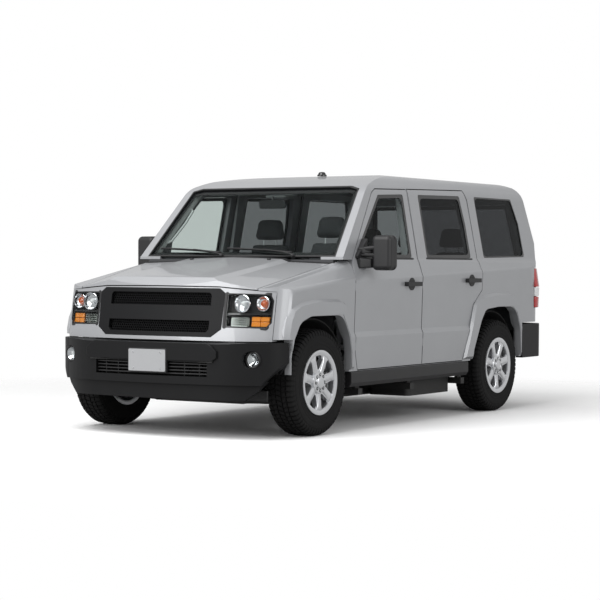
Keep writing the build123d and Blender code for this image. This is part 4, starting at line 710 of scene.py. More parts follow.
class Assembler:
    """Puts finished objects on the frame's bodies."""

    def __init__(self, shop: Paintshop) -> None:
        """Keep the paintshop and count what is fitted."""
        self.shop = shop
        self.count = 0

    def fit(self, obj: bpy.types.Object, body: str, finish: Finish | GlassFinish, slot: str = "",
            instead: Sequence[str] = ()) -> bpy.types.Object:
        """Give an object its finish and let it ride on a body.

        Args:
            obj: The object, in place.
            body: The body that carries it.
            finish: Its finish.
            slot: The record's material slot that it stands for; not used.
            instead: CAD nodes that it stands for.

        Returns:
            The same object.
        """
        obj.data.materials.clear()
        obj.data.materials.append(self.shop.of(finish))
        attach(obj, body)
        if instead:
            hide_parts(*instead)
        self.count += 1
        LOG.info("fitted %s on %s", obj.name, body)
        return obj


# ---------------------------------------------------------------- geometry nodes


class PatternTree:
    """A small Geometry Nodes tree with named inputs that makes a repeated shape."""

    def __init__(self, name: str, material: bpy.types.Material) -> None:
        """Start an empty tree.

        Args:
            name: The tree's name.
            material: Material that its shapes get.
        """
        self.tree = bpy.data.node_groups.new(name, "GeometryNodeTree")
        self.tree.is_modifier = True
        self.tree.interface.new_socket(name="Geometry", in_out="INPUT", socket_type="NodeSocketGeometry")
        self.tree.interface.new_socket(name="Geometry", in_out="OUTPUT", socket_type="NodeSocketGeometry")
        self.entry = self.tree.nodes.new("NodeGroupInput")
        self.material = material
        self.sockets: dict[str, str] = {}

    def size(self, label: str, default: float, kind: str = "NodeSocketFloat") -> bpy.types.NodeSocket:
        """Add a named input and give the socket to link from."""
        socket = self.tree.interface.new_socket(name=label, in_out="INPUT", socket_type=kind)
        socket.default_value = default
        self.sockets[label] = socket.identifier
        return self.entry.outputs[label]

    def feed(self, node: bpy.types.Node, values: Sequence[object]) -> bpy.types.NodeSocket:
        """Give a node's inputs sockets or numbers, in order, and give back its result."""
        for entry, value in zip(node.inputs, values):
            if isinstance(value, (int, float)):
                entry.default_value = value
            else:
                self.link(value, entry)
        return node.outputs[0]

    def math(self, operation: str, a: object, b: object = 0.0) -> bpy.types.NodeSocket:
        """Add a Math node over sockets or numbers and give its result."""
        return self.feed(new_node(self.tree, "ShaderNodeMath", operation=operation), (a, b))

    def vector(self, x: object = 0.0, y: object = 0.0, z: object = 0.0) -> bpy.types.NodeSocket:
        """Join three sockets or numbers into a vector."""
        return self.feed(new_node(self.tree, "ShaderNodeCombineXYZ"), (x, y, z))

    def link(self, start: bpy.types.NodeSocket, end: bpy.types.NodeSocket) -> None:
        """Link two sockets."""
        self.tree.links.new(start, end)

    def finish(self, geometry: bpy.types.NodeSocket) -> None:
        """End the tree: make the copies real and give them their material."""
        real = new_node(self.tree, "GeometryNodeRealizeInstances")
        dress = new_node(self.tree, "GeometryNodeSetMaterial", {"Material": self.material})
        leave = new_node(self.tree, "NodeGroupOutput")
        self.link(geometry, real.inputs[0])
        wire(self.tree, (real, 0, dress, "Geometry"), (dress, 0, leave, 0))

    def grow(self, name: str, seed: bpy.types.Object, **sizes: float) -> bpy.types.Object:
        """Run the tree over a small object and give its result as a plain mesh object.

        Args:
            name: Name of the object made.
            seed: Object whose mesh the tree repeats, removed afterwards.
            **sizes: Values for the named inputs, with _ for a space.

        Returns:
            The new object, at the origin.
        """
        modifier = seed.modifiers.new("pattern", "NODES")
        modifier.node_group = self.tree
        for label, value in sizes.items():
            modifier[self.sockets[label.replace("_", " ")]] = value
        depsgraph = bpy.context.evaluated_depsgraph_get()
        mesh = bpy.data.meshes.new_from_object(seed.evaluated_get(depsgraph))
        seed.modifiers.remove(modifier)
        bpy.data.objects.remove(seed)
        mesh.name = name
        return linked(name, mesh)


def ring_tree(name: str, material: bpy.types.Material) -> PatternTree:
    """Tree that repeats the given mesh round a wheel's axle.

    Args:
        name: The tree's name.
        material: Material of the copies.

    Returns:
        A tree with the inputs Count, Centre X, Centre Y and Centre Z. The mesh is drawn about the origin.
    """
    made = PatternTree(name, material)
    count = made.size("Count", 12, "NodeSocketInt")
    centre = made.vector(made.size("Centre X", 0.0), made.size("Centre Y", 0.0), made.size("Centre Z", 0.0))
    line = new_node(made.tree, "GeometryNodeMeshLine", {"Offset": (0.0, 0.0, 0.0)})
    index = new_node(made.tree, "GeometryNodeInputIndex")
    place = new_node(made.tree, "GeometryNodeInstanceOnPoints")
    move = new_node(made.tree, "GeometryNodeTranslateInstances", {"Local Space": False})
    step = made.math("DIVIDE", 2 * math.pi, count)
    turn = made.vector(0.0, made.math("MULTIPLY", index.outputs[0], step), 0.0)
    made.link(count, line.inputs["Count"])
    made.link(turn, place.inputs["Rotation"])
    made.link(centre, move.inputs["Translation"])
    wire(made.tree, (line, 0, place, "Points"), (made.entry, "Geometry", place, "Instance"),
         (place, 0, move, "Instances"))
    made.finish(move.outputs[0])
    return made


def row_tree(name: str, material: bpy.types.Material) -> PatternTree:
    """Tree that repeats the given mesh in rows and columns.

    Args:
        name: The tree's name.
        material: Material of the copies.

    Returns:
        A tree with the inputs Columns, Rows, Step Y, Step Z, Step X, Shift, Bow and Lean. Columns run across the
        vehicle and rows upwards; every other row is moved by Shift, and copies draw back by Bow times y squared
        and Lean times z. Step X spaces the rows along the vehicle.
    """
    made = PatternTree(name, material)
    columns = made.size("Columns", 4, "NodeSocketInt")
    rows = made.size("Rows", 4, "NodeSocketInt")
    step_y, step_z, step_x = made.size("Step Y", 0.01), made.size("Step Z", 0.01), made.size("Step X", 0.0)
    shift, bow, lean = made.size("Shift", 0.0), made.size("Bow", 0.0), made.size("Lean", 0.0)
    line = new_node(made.tree, "GeometryNodeMeshLine", {"Offset": (0.0, 0.0, 0.0)})
    made.link(made.math("MULTIPLY", columns, rows), line.inputs["Count"])
    index = new_node(made.tree, "GeometryNodeInputIndex").outputs[0]
    row = made.math("FLOOR", made.math("DIVIDE", index, columns))
    column = made.math("SUBTRACT", index, made.math("MULTIPLY", row, columns))
    middle_column = made.math("DIVIDE", made.math("SUBTRACT", columns, 1.0), 2.0)
    middle_row = made.math("DIVIDE", made.math("SUBTRACT", rows, 1.0), 2.0)
    odd = made.math("MODULO", row, 2.0)
    y = made.math("ADD", made.math("MULTIPLY", made.math("SUBTRACT", column, middle_column), step_y),
                  made.math("MULTIPLY", odd, shift))
    centred = made.math("SUBTRACT", row, middle_row)
    z = made.math("MULTIPLY", centred, step_z)
    back = made.math("ADD", made.math("MULTIPLY", made.math("MULTIPLY", y, y), bow), made.math("MULTIPLY", z, lean))
    x = made.math("SUBTRACT", made.math("MULTIPLY", centred, step_x), back)
    lay = new_node(made.tree, "GeometryNodeSetPosition")
    place = new_node(made.tree, "GeometryNodeInstanceOnPoints")
    made.link(made.vector(x, y, z), lay.inputs["Position"])
    wire(made.tree, (line, 0, lay, "Geometry"), (lay, 0, place, "Points"),
         (made.entry, "Geometry", place, "Instance"))
    made.finish(place.outputs[0])
    return made


def hex_cell(radius: float, wall: float, depth: float, centre: Point3) -> Shape:
    """One open cell of a honeycomb about a centre, facing forward."""
    x, y, z = centre
    rings = []
    for corner in range(6):
        a = math.pi / 6 + corner * math.pi / 3
        inner, outer = radius - wall, radius
        cy, cz = math.cos(a), math.sin(a)
        rings.append([(x, y + cy * outer, z + cz * outer), (x, y + cy * inner, z + cz * inner),
                      (x - depth, y + cy * inner, z + cz * inner), (x - depth, y + cy * outer, z + cz * outer)])
    return Shape().loft(rings, capped=False, looped=True)


@dataclass
class SideUnit:
    """Pieces that are drawn on the left side and fitted on either."""

    fitter: Assembler
    side: str
    sign: int

    def put(self, shape: Shape, label: str, finish: Finish | GlassFinish, bevel: float = 0.0, smooth: float = 35.0,
            body: str = "body", slot: str = "", instead: Sequence[str] = ()) -> None:
        """Fit a shape on this side.

        Args:
            shape: The shape, drawn on the left.
            label: Name of the piece, without the side.
            finish: Its finish.
            bevel: Width of the rounding on its edges.
            smooth: Angle up to which its faces shade as one surface.
            body: The body that carries it.
            slot: The record's material slot that it stands for.
            instead: CAD nodes that it stands for.
        """
        piece = shape.flipped(self.sign).solid(f"{label}_{self.side}", bevel, smooth=smooth)
        self.fitter.fit(piece, body, finish, slot, instead)


def cad_copy(node: str, name: str, bevel: float, smooth: float = 32.0) -> bpy.types.Object:
    """Copy a CAD node's mesh, join its loose triangles and round its edges.

    Args:
        node: The CAD node.
        name: Name of the copy.
        bevel: Width of the rounding.
        smooth: Angle up to which faces shade as one surface.

    Returns:
        The copy, at the origin.
    """
    mesh = bpy.data.meshes.new(name)
    work = bmesh.new()
    work.from_mesh(frame["nodes"][node].data)
    bmesh.ops.remove_doubles(work, verts=work.verts, dist=CAD_WELD)
    bmesh.ops.dissolve_degenerate(work, edges=work.edges, dist=CAD_WELD)
    bmesh.ops.dissolve_limit(work, angle_limit=math.radians(0.6), verts=work.verts, edges=work.edges)
    work.to_mesh(mesh)
    work.free()
    obj = linked(name, mesh)
    shade(mesh, smooth)
    round_edges(obj, bevel, 2, 40)
    even = obj.modifiers.new("even", "WEIGHTED_NORMAL")
    even.keep_sharp = True
    even.weight = 60
    return obj


# ---------------------------------------------------------------- bodywork


@dataclass
class Bodywork:
    """Painted panels and the plain plastic parts of the outside."""

    fitter: Assembler
    edge: float = 0.0022
    plastic_edge: float = 0.0035

    def painted(self) -> None:
        """Dress every painted panel of the frame."""
        bodies = {"hood": "hood", "tailgate": "tailgate"}
        for side, _ in SIDES:
            bodies["front_door_" + side] = "door_front_" + side
            bodies["rear_door_" + side] = "door_rear_" + side
            bodies["body_side_" + side] = "body"
            bodies["front_fender_" + side] = "body"
        bodies["roof_panel"] = "body"
        bodies["nose_panel"] = "body"
        for node, body in bodies.items():
            panel = cad_copy(node, "paint_" + node, self.edge)
            self.fitter.fit(panel, body, PAINT, "paint", [node])

    def plastic(self) -> None:
        """Dress the bumpers, sills and cowl."""
        for node, finish, slot in (("front_bumper", BUMPER, "grey_plastic"), ("rear_bumper", BUMPER, "grey_plastic"),
                                   ("cowl_panel", BLACK, "black_plastic"), ("rocker_left", BLACK, "black_plastic"),
                                   ("rocker_right", BLACK, "black_plastic")):
            piece = cad_copy(node, "moulded_" + node, self.plastic_edge)
            self.fitter.fit(piece, "body", finish, slot, [node])

    def arch_lips(self) -> None:
        """Painted lips that round the wheel openings, with a dark rolled edge inside."""
        for label, node, outline in (("front", "front_fender_", FRONT_ARCH), ("rear", "body_side_", REAR_ARCH)):
            low = [(outline[0][0], 0.100), *outline[1:-1], (outline[-1][0], 0.100)]
            pairs = zip(rounded(low, 0.002, 9), rounded(shrunk(low, 0.004), 0.170, 9))
            middle = (outline[0][0] + outline[-1][0]) / 2
            first, last = ((foot, (foot[0] + math.copysign(0.004, middle - foot[0]), foot[1]))
                           for foot in (outline[0], outline[-1]))
            lines = [first, *((a, b) for a, b in pairs if min(a[1], b[1]) > first[0][1]), last]
            for side, sign in SIDES:
                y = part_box(node + side)[1][1] if sign > 0 else -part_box(node + side)[0][1]
                rings = [[(a[0], y - 0.060, a[1]), (a[0], y - 0.003, a[1]), (b[0], y - 0.005, b[1]),
                          (b[0], y - 0.060, b[1])] for a, b in lines]
                lip = Shape().loft(rings).flipped(sign)
                self.fitter.fit(lip.solid(f"{label}_arch_lip_{side}"), "body", PAINT)

    def antenna(self) -> None:
        """Low antenna puck with a rounded cap on its foot ring."""
        low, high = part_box("antenna")
        x, y = (low[0] + high[0]) / 2, (low[1] + high[1]) / 2
        foot, top = high[2] - 0.030, high[2] - 0.004
        profile = [(foot - 0.010, 0.0), (foot - 0.010, 0.040), (foot + 0.002, 0.040), (foot + 0.003, 0.034),
                   (top - 0.008, 0.028), (top - 0.002, 0.022), (top, 0.010), (top, 0.0)]
        puck = Shape().turned(profile, (x, y, 0.0), (0, 0, 1), 32).solid("antenna_puck", smooth=40)
        self.fitter.fit(puck, "body", GLOSS, "black_plastic", ["antenna"])

    def gap_seals(self) -> None:
        """Black rubber that closes the view through the door gaps, on the body behind the door edges."""
        for side, sign in SIDES:
            for name, outline in (("front", FRONT_DOOR), ("rear", REAR_DOOR)):
                outer = shrunk(outline, -0.010)
                inner = shrunk(outline, 0.012)
                seal = Shape().band(outer, inner, side_skin, -0.068, -0.061)
                piece = seal.flipped(sign).solid(f"{name}_opening_seal_{side}")
                self.fitter.fit(piece, "body", SEAL)

    def build(self) -> None:
        """Dress the outside."""
        self.painted()
        self.plastic()
        self.arch_lips()
        self.antenna()
        self.gap_seals()


@dataclass
class Glazing:
    """Black frames and fired-on bands round the panes."""

    fitter: Assembler
    seal: float = 0.024
    corner: float = 0.026

    def side_frames(self) -> None:
        """Raised black frame round each door window and a thin one round the rear quarter window."""
        panes = (("front_door", "door_front_", FRONT_GLASS, 0.028), ("rear_door", "door_rear_", REAR_GLASS, 0.028),
                 ("quarter", "body", QUARTER_GLASS, 0.012))
        for name, body, outline, width in panes:
            outer = rounded(shrunk(outline, 0.0005), self.corner)
            inner = rounded(shrunk(outline, width), self.corner * 2)
            for side, sign in SIDES:
                frame_piece = Shape().band(outer, inner, side_skin, -0.012, -0.0015).flipped(sign)
                piece = frame_piece.solid(f"{name}_window_frame_{side}", 0.0015)
                home = body if body == "body" else body + side
                self.fitter.fit(piece, home, GLOSS)

    def sill_strips(self) -> None:
        """Belt strip under each door window."""
        for side, sign in SIDES:
            for name, body, x0, x1 in (("front", "door_front_", 0.090, 0.870), ("rear", "door_rear_", -0.945, -0.128)):
                outline = rounded([(x0, 1.300), (x1, 1.304), (x1, 1.318), (x0, 1.314)], 0.006, 3)
                strip = Shape().laid(outline, side_skin, -0.006, 0.004).flipped(sign)
                self.fitter.fit(strip.solid(f"{name}_belt_strip_{side}", 0.0015), body + side, BLACK)

    def bands(self) -> None:
        """Fired-on black band round the windscreen and the tailgate pane, on the inner face."""
        outer = rounded(shrunk(SCREEN, 0.002), 0.03)
        piece = Shape().band(outer, shrunk(outer, 0.040), screen_skin, -0.0170, -0.0140).solid("windscreen_band")
        self.fitter.fit(piece, "body", GLOSS)
        rim_outer = rounded(shrunk(SCREEN, 0.0005), 0.012)
        rim = Shape().band(rim_outer, shrunk(rim_outer, 0.011), screen_skin, -0.010, 0.001)
        self.fitter.fit(rim.solid("windscreen_moulding", 0.0015), "body", SEAL)
        gate_outer = rounded(shrunk(TAILGATE_GLASS, 0.001), 0.02)
        gate = Shape().band(gate_outer, shrunk(gate_outer, 0.034), gate_skin, -0.010, -0.001)
        self.fitter.fit(gate.solid("tailgate_window_frame", 0.0015), "tailgate", GLOSS)

    def build(self) -> None:
        """Fit every frame and band."""
        self.side_frames()
        self.sill_strips()
        self.bands()


# ---------------------------------------------------------------- wheels


@dataclass
class Wheel:
    """One wheel: treaded tyre, seven-spoke alloy rim, nuts and centre cap."""

    fitter: Assembler
    place: str
    centre: Point3
    side: int
    radius: float = TYRE_RADIUS
    half_width: float = 0.119
    rim_radius: float = 0.239
    pitches: int = 62
    spokes: int = 7
    nuts: int = 8
    nut_circle: float = 0.0605

    @property
    def body(self) -> str:
        """Body that carries the wheel."""
        return "wheel_" + self.place

    def ring(self, label: str, seed: Shape, finish: Finish, count: int) -> bpy.types.Object:
        """Repeat a small shape, drawn about the origin, round the axle.

        Args:
            label: Name of the piece, without the wheel's place.
            seed: The shape.
            finish: Finish of the copies.
            count: Number of copies.

        Returns:
            The copies as one object.
        """
        tree = ring_tree(f"{label}_tree_{self.place}", self.fitter.shop.of(finish))
        x, y, z = self.centre
        return tree.grow(f"{label}_{self.place}", seed.solid(f"{label}_seed_{self.place}"), Count=count,
                         Centre_X=x, Centre_Y=y, Centre_Z=z)

    def disc(self, label: str, profile: Sequence[Point2], smooth: float = 35.0) -> bpy.types.Object:
        """Turn a profile of (distance outwards, radius) points about the axle."""
        outward = [(self.side * w, r) for w, r in profile]
        return Shape().turned(outward, self.centre, (0, 1, 0)).solid(f"{label}_{self.place}", smooth=smooth)

    def carcass(self) -> bpy.types.Object:
        """Tyre body with rounded shoulders, rim guard and raised rings on its walls."""
        r, w, rim = self.radius, self.half_width, self.rim_radius
        half = [(0.0, r - 0.0085), (0.020, r - 0.0085), (0.0205, r - 0.013), (0.027, r - 0.013), (0.0275, r - 0.0088),
                (0.060, r - 0.0095), (0.0605, r - 0.014), (0.067, r - 0.014), (0.0675, r - 0.010),
                (0.088, r - 0.0125), (0.101, r - 0.019), (0.110, r - 0.032), (0.1150, r - 0.050), (0.1165, r - 0.056),
                (0.1182, r - 0.058), (w, r - 0.070), (w, r - 0.085), (0.1172, r - 0.100), (0.1180, r - 0.102),
                (0.1178, r - 0.112), (0.1165, r - 0.114), (0.1160, rim + 0.024), (0.1172, rim + 0.020),
                (0.1168, rim + 0.012), (0.1125, rim + 0.004), (0.1100, rim - 0.012), (0.1092, 0.2166),
                (0.0925, 0.2166), (0.0925, 0.245), (0.1010, 0.300), (0.0940, 0.360), (0.0, 0.372)]
        profile = half + [(-a, b) for a, b in reversed(half[1:-1])]
        return Shape().turned(profile, self.centre, (0, 1, 0), 112).solid(f"tyre_body_{self.place}", smooth=28)

    def tread(self) -> bpy.types.Object:
        """Tread blocks and shoulder lugs, repeated round the tyre."""
        pitch = 2 * math.pi * self.radius / self.pitches
        shape = Shape()
        base, top = self.radius - 0.012, self.radius - 0.0004
        # Each block: its two edges across, its share of the pitch, its slant and its shift in pitches.
        blocks = ((-0.0185, 0.0185, 0.74, 0.30, 0.0), (0.029, 0.0585, 0.70, -0.22, 0.3),
                  (-0.0585, -0.029, 0.70, -0.22, 0.8))
        for y0, y1, share, skew, shift in blocks:
            half = pitch * share / 2
            corners = [(x + (push / 2 + shift) * pitch, y, math.sqrt(z * z - (x / 2) ** 2))
                       for z in (base, top) for y, push in ((y0, -skew), (y1, skew)) for x in (-half, half)]
            shape.take(corners, BOX_FACES)
        half, thin, deep = pitch * 0.33, 0.006, 0.013
        shoulder = [(y, self.radius - drop) for y, drop in ((0.0690, 0.0008), (0.0890, 0.0032), (0.1060, 0.0135),
                                                            (0.1145, 0.0330), (0.1165, 0.0480))]
        for sign in (-1, 1):
            ahead = 0.2 * pitch if sign > 0 else 0.0
            shape.loft([[(ahead - half, sign * y, z), (ahead + half, sign * y, z),
                         (ahead + half, sign * (y - thin), z - deep), (ahead - half, sign * (y - thin), z - deep)]
                        for y, z in shoulder])
        return self.ring("tyre_tread", shape, TYRE, self.pitches)

    def rim(self) -> bpy.types.Object:
        """The frame's seven-spoke rim with rounded edges."""
        return cad_copy("rim_" + self.place, "alloy_rim_" + self.place, 0.0045, 38.0)

    def spoke_faces(self) -> bpy.types.Object:
        """Raised, rounded faces of the spokes, repeated round the hub."""
        rings = []
        # Along the spoke: radius, half of its width and height of its face.
        for r, half, lift in ((0.070, 0.026, 0.112), (0.100, 0.025, 0.113), (0.140, 0.026, 0.1155),
                              (0.175, 0.032, 0.1165), (0.200, 0.045, 0.1165), (0.214, 0.064, 0.108)):
            left = [(-half, lift - 0.018), (-half * 0.86, lift - 0.004), (-half * 0.55, lift)]
            rings.append([(x, self.side * w, -r) for x, w in (*left, *((-x, w) for x, w in reversed(left)))])
        made = self.ring("alloy_spokes", Shape().loft(rings), ALLOY, self.spokes)
        shade(made.data, 50)
        return made

    def cap(self) -> bpy.types.Object:
        """Raised hub cover with its stepped rim and domed centre cap."""
        return self.disc("hub_cover", (
            (0.098, 0.0), (0.098, 0.083), (0.113, 0.083), (0.1185, 0.079), (0.1205, 0.072), (0.1190, 0.050),
            (0.1195, 0.046), (0.1270, 0.043), (0.1310, 0.036), (0.1314, 0.030), (0.1296, 0.0285), (0.1304, 0.014),
            (0.1306, 0.0)), 30)

    def spoke_shade(self) -> bpy.types.Object:
        """Dark ring behind the spokes: painted shade in the spoke windows, in liner black."""
        return self.disc("spoke_window_shade", ((0.048, 0.070), (0.052, 0.070), (0.052, 0.194), (0.048, 0.194)))

    def wheel_nuts(self) -> bpy.types.Object:
        """Six-sided domed nuts on the hub cover."""
        corners = [(math.cos(i * math.pi / 3), math.sin(i * math.pi / 3)) for i in range(6)]
        levels = ((0.112, 0.0085), (0.1225, 0.0085), (0.1262, 0.0068), (0.1275, 0.0030))
        nut = Shape().loft([[(cx * r, self.side * w, self.nut_circle + cz * r) for cx, cz in corners]
                            for w, r in levels])
        return self.ring("wheel_nuts", nut, NUT, self.nuts)

    def pocket_shade(self) -> bpy.types.Object:
        """Dark rings round the nuts: painted shade of the nut pockets, in seal black."""
        low, high, radius = self.side * 0.1170, self.side * 0.1212, 0.0125
        shade_ring = Shape().turned(((low, 0.0), (low, radius), (high, radius), (high, 0.0)), (0, 0, self.nut_circle),
                                (0, 1, 0), 16)
        return self.ring("nut_pocket_shade", shade_ring, SEAL, self.nuts)

    def valve(self) -> bpy.types.Object:
        """Tyre valve that stands out of the rim well."""
        x, y, z = self.centre
        path = [(x + 0.060, y + self.side * 0.088, z + 0.186), (x + 0.056, y + self.side * 0.108, z + 0.176)]
        return Shape().tube(path, 0.004, 10).solid("valve_" + self.place)

    def build(self) -> None:
        """Make the wheel's pieces and hang them on its body."""
        self.fitter.fit(self.carcass(), self.body, TYRE, "tyre", ["tyre_" + self.place])
        self.fitter.fit(self.tread(), self.body, TYRE, "tyre")
        self.fitter.fit(self.rim(), self.body, ALLOY, "alloy", ["rim_" + self.place])
        self.fitter.fit(self.spoke_faces(), self.body, ALLOY, "alloy")
        self.fitter.fit(self.cap(), self.body, ALLOY, "alloy")
        self.fitter.fit(self.spoke_shade(), self.body, LINER)
        self.fitter.fit(self.pocket_shade(), self.body, SEAL)
        self.fitter.fit(self.wheel_nuts(), self.body, NUT)
        self.fitter.fit(self.valve(), self.body, SEAL)


# ---------------------------------------------------------------- stage and camera


@dataclass(frozen=True)
class AreaLamp:
    """A square lamp: its place, the point that it faces, its power in watts and its edge."""

    name: str
    place: Point3
    aim: Point3
    power: float
    size: float

    def hang(self) -> None:
        """Make the lamp."""
        data = bpy.data.lights.new(self.name, "AREA")
        data.energy = self.power
        data.size = self.size
        obj = linked(self.name, data)
        obj.rotation_euler = (Vector(self.aim) - Vector(self.place)).to_track_quat("-Z", "Y").to_euler()
        obj.location = self.place


@dataclass
class Stage:
    """Pale floor, white surroundings, lamps and the camera, whose angles are in degrees and lens in millimetres."""

    floor_half: float = 12.0
    floor_lit: float = 0.42
    floor_seen: float = 0.96
    fade_start: float = 2.6
    fade_end: float = 6.0
    world_strength: float = 0.62
    camera_place: Point3 = (13.505, 8.272, 1.277)
    camera_azimuth: float = 32.4
    camera_drop: float = 2.5
    camera_roll: float = 0.24
    camera_lens: float = 114.25
    camera_shift: Point2 = (0.0210, 0.0753)
    lamps: tuple[AreaLamp, ...] = (
        AreaLamp("sky_lamp", (5.5, -0.5, 7.5), (1.5, 0, 1.0), 600.0, 6.0),
        AreaLamp("side_lamp", (2.5, 9.5, 4.0), (0.4, 0, 0.9), 250.0, 5.0),
        AreaLamp("front_lamp", (10.5, -2.5, 4.2), (1.0, 0, 0.9), 260.0, 4.0),
    )

    def floor(self) -> None:
        """Lay a pale floor that catches the shadow and fades out round the vehicle."""
        mesh = bpy.data.meshes.new("floor")
        h = self.floor_half
        mesh.from_pydata([(-h, -h, 0), (h, -h, 0), (h, h, 0), (-h, h, 0)], [], [(0, 1, 2, 3)])
        plane = linked("floor", mesh)
        material = bpy.data.materials.new("floor_pale")
        material.use_nodes = True
        tree = material.node_tree
        shader = tree.nodes["Principled BSDF"]
        shader.inputs["Roughness"].default_value = 0.9
        shader.inputs["Specular IOR Level"].default_value = 0.1
        path = new_node(tree, "ShaderNodeLightPath")
        tones = {"A": (*[self.floor_lit] * 3, 1), "B": (*[self.floor_seen] * 3, 1)}
        tone = new_node(tree, "ShaderNodeMix", tones, data_type="RGBA")
        place = new_node(tree, "ShaderNodeTexCoord")
        far = new_node(tree, "ShaderNodeVectorMath", operation="LENGTH")
        fade = new_node(tree, "ShaderNodeMapRange", {"From Min": self.fade_start, "From Max": self.fade_end})
        clear = new_node(tree, "ShaderNodeBsdfTransparent")
        mix = new_node(tree, "ShaderNodeMixShader")
        wire(tree, (path, "Is Camera Ray", tone, "Factor"), (tone, "Result", shader, "Base Color"),
             (place, "Object", far, 0), (far, "Value", fade, "Value"), (fade, "Result", mix, "Fac"),
             (shader, 0, mix, 1), (clear, 0, mix, 2), (mix, 0, tree.nodes["Material Output"], "Surface"))
        mesh.materials.append(material)
        plane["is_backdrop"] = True

    def world(self) -> None:
        """Surroundings that are white to the camera and light the vehicle evenly."""
        world = bpy.data.worlds.new("surroundings")
        bpy.context.scene.world = world
        world.use_nodes = True
        tree = world.node_tree
        path = new_node(tree, "ShaderNodeLightPath")
        seen = new_node(tree, "ShaderNodeMath", operation="MAXIMUM")
        tones = {"A": (*[self.world_strength] * 3, 1), "B": (1, 1, 1, 1)}
        tone = new_node(tree, "ShaderNodeMix", tones, data_type="RGBA")
        wire(tree, (path, "Is Camera Ray", seen, 0), (path, "Is Transmission Ray", seen, 1),
             (seen, 0, tone, "Factor"), (tone, "Result", tree.nodes["Background"], "Color"))

    def camera(self) -> None:
        """Set the camera at the front left, a little over the hood line."""
        azimuth, drop, roll = (math.radians(a) for a in (self.camera_azimuth, self.camera_drop, self.camera_roll))
        look = Vector((-math.cos(drop) * math.cos(azimuth), -math.cos(drop) * math.sin(azimuth), -math.sin(drop)))
        right = look.cross(Vector((0, 0, 1))).normalized()
        up = right.cross(look).normalized()
        across = right * math.cos(roll) + up * math.sin(roll)
        rise = across.cross(look).normalized()
        data = bpy.data.cameras.new("camera")
        data.sensor_width = 36.0
        data.lens = self.camera_lens
        data.shift_x, data.shift_y = self.camera_shift
        data.clip_end = 200.0
        obj = linked("camera", data)
        turn = Matrix((across, rise, -look)).transposed().to_4x4()
        obj.matrix_world = Matrix.Translation(self.camera_place) @ turn
        bpy.context.scene.camera = obj

    def build(self) -> None:
        """Build the surroundings."""
        self.floor()
        self.world()
        for lamp in self.lamps:
            lamp.hang()
        self.camera()
        bpy.context.scene.view_settings.view_transform = "Standard"


# ---------------------------------------------------------------- front end


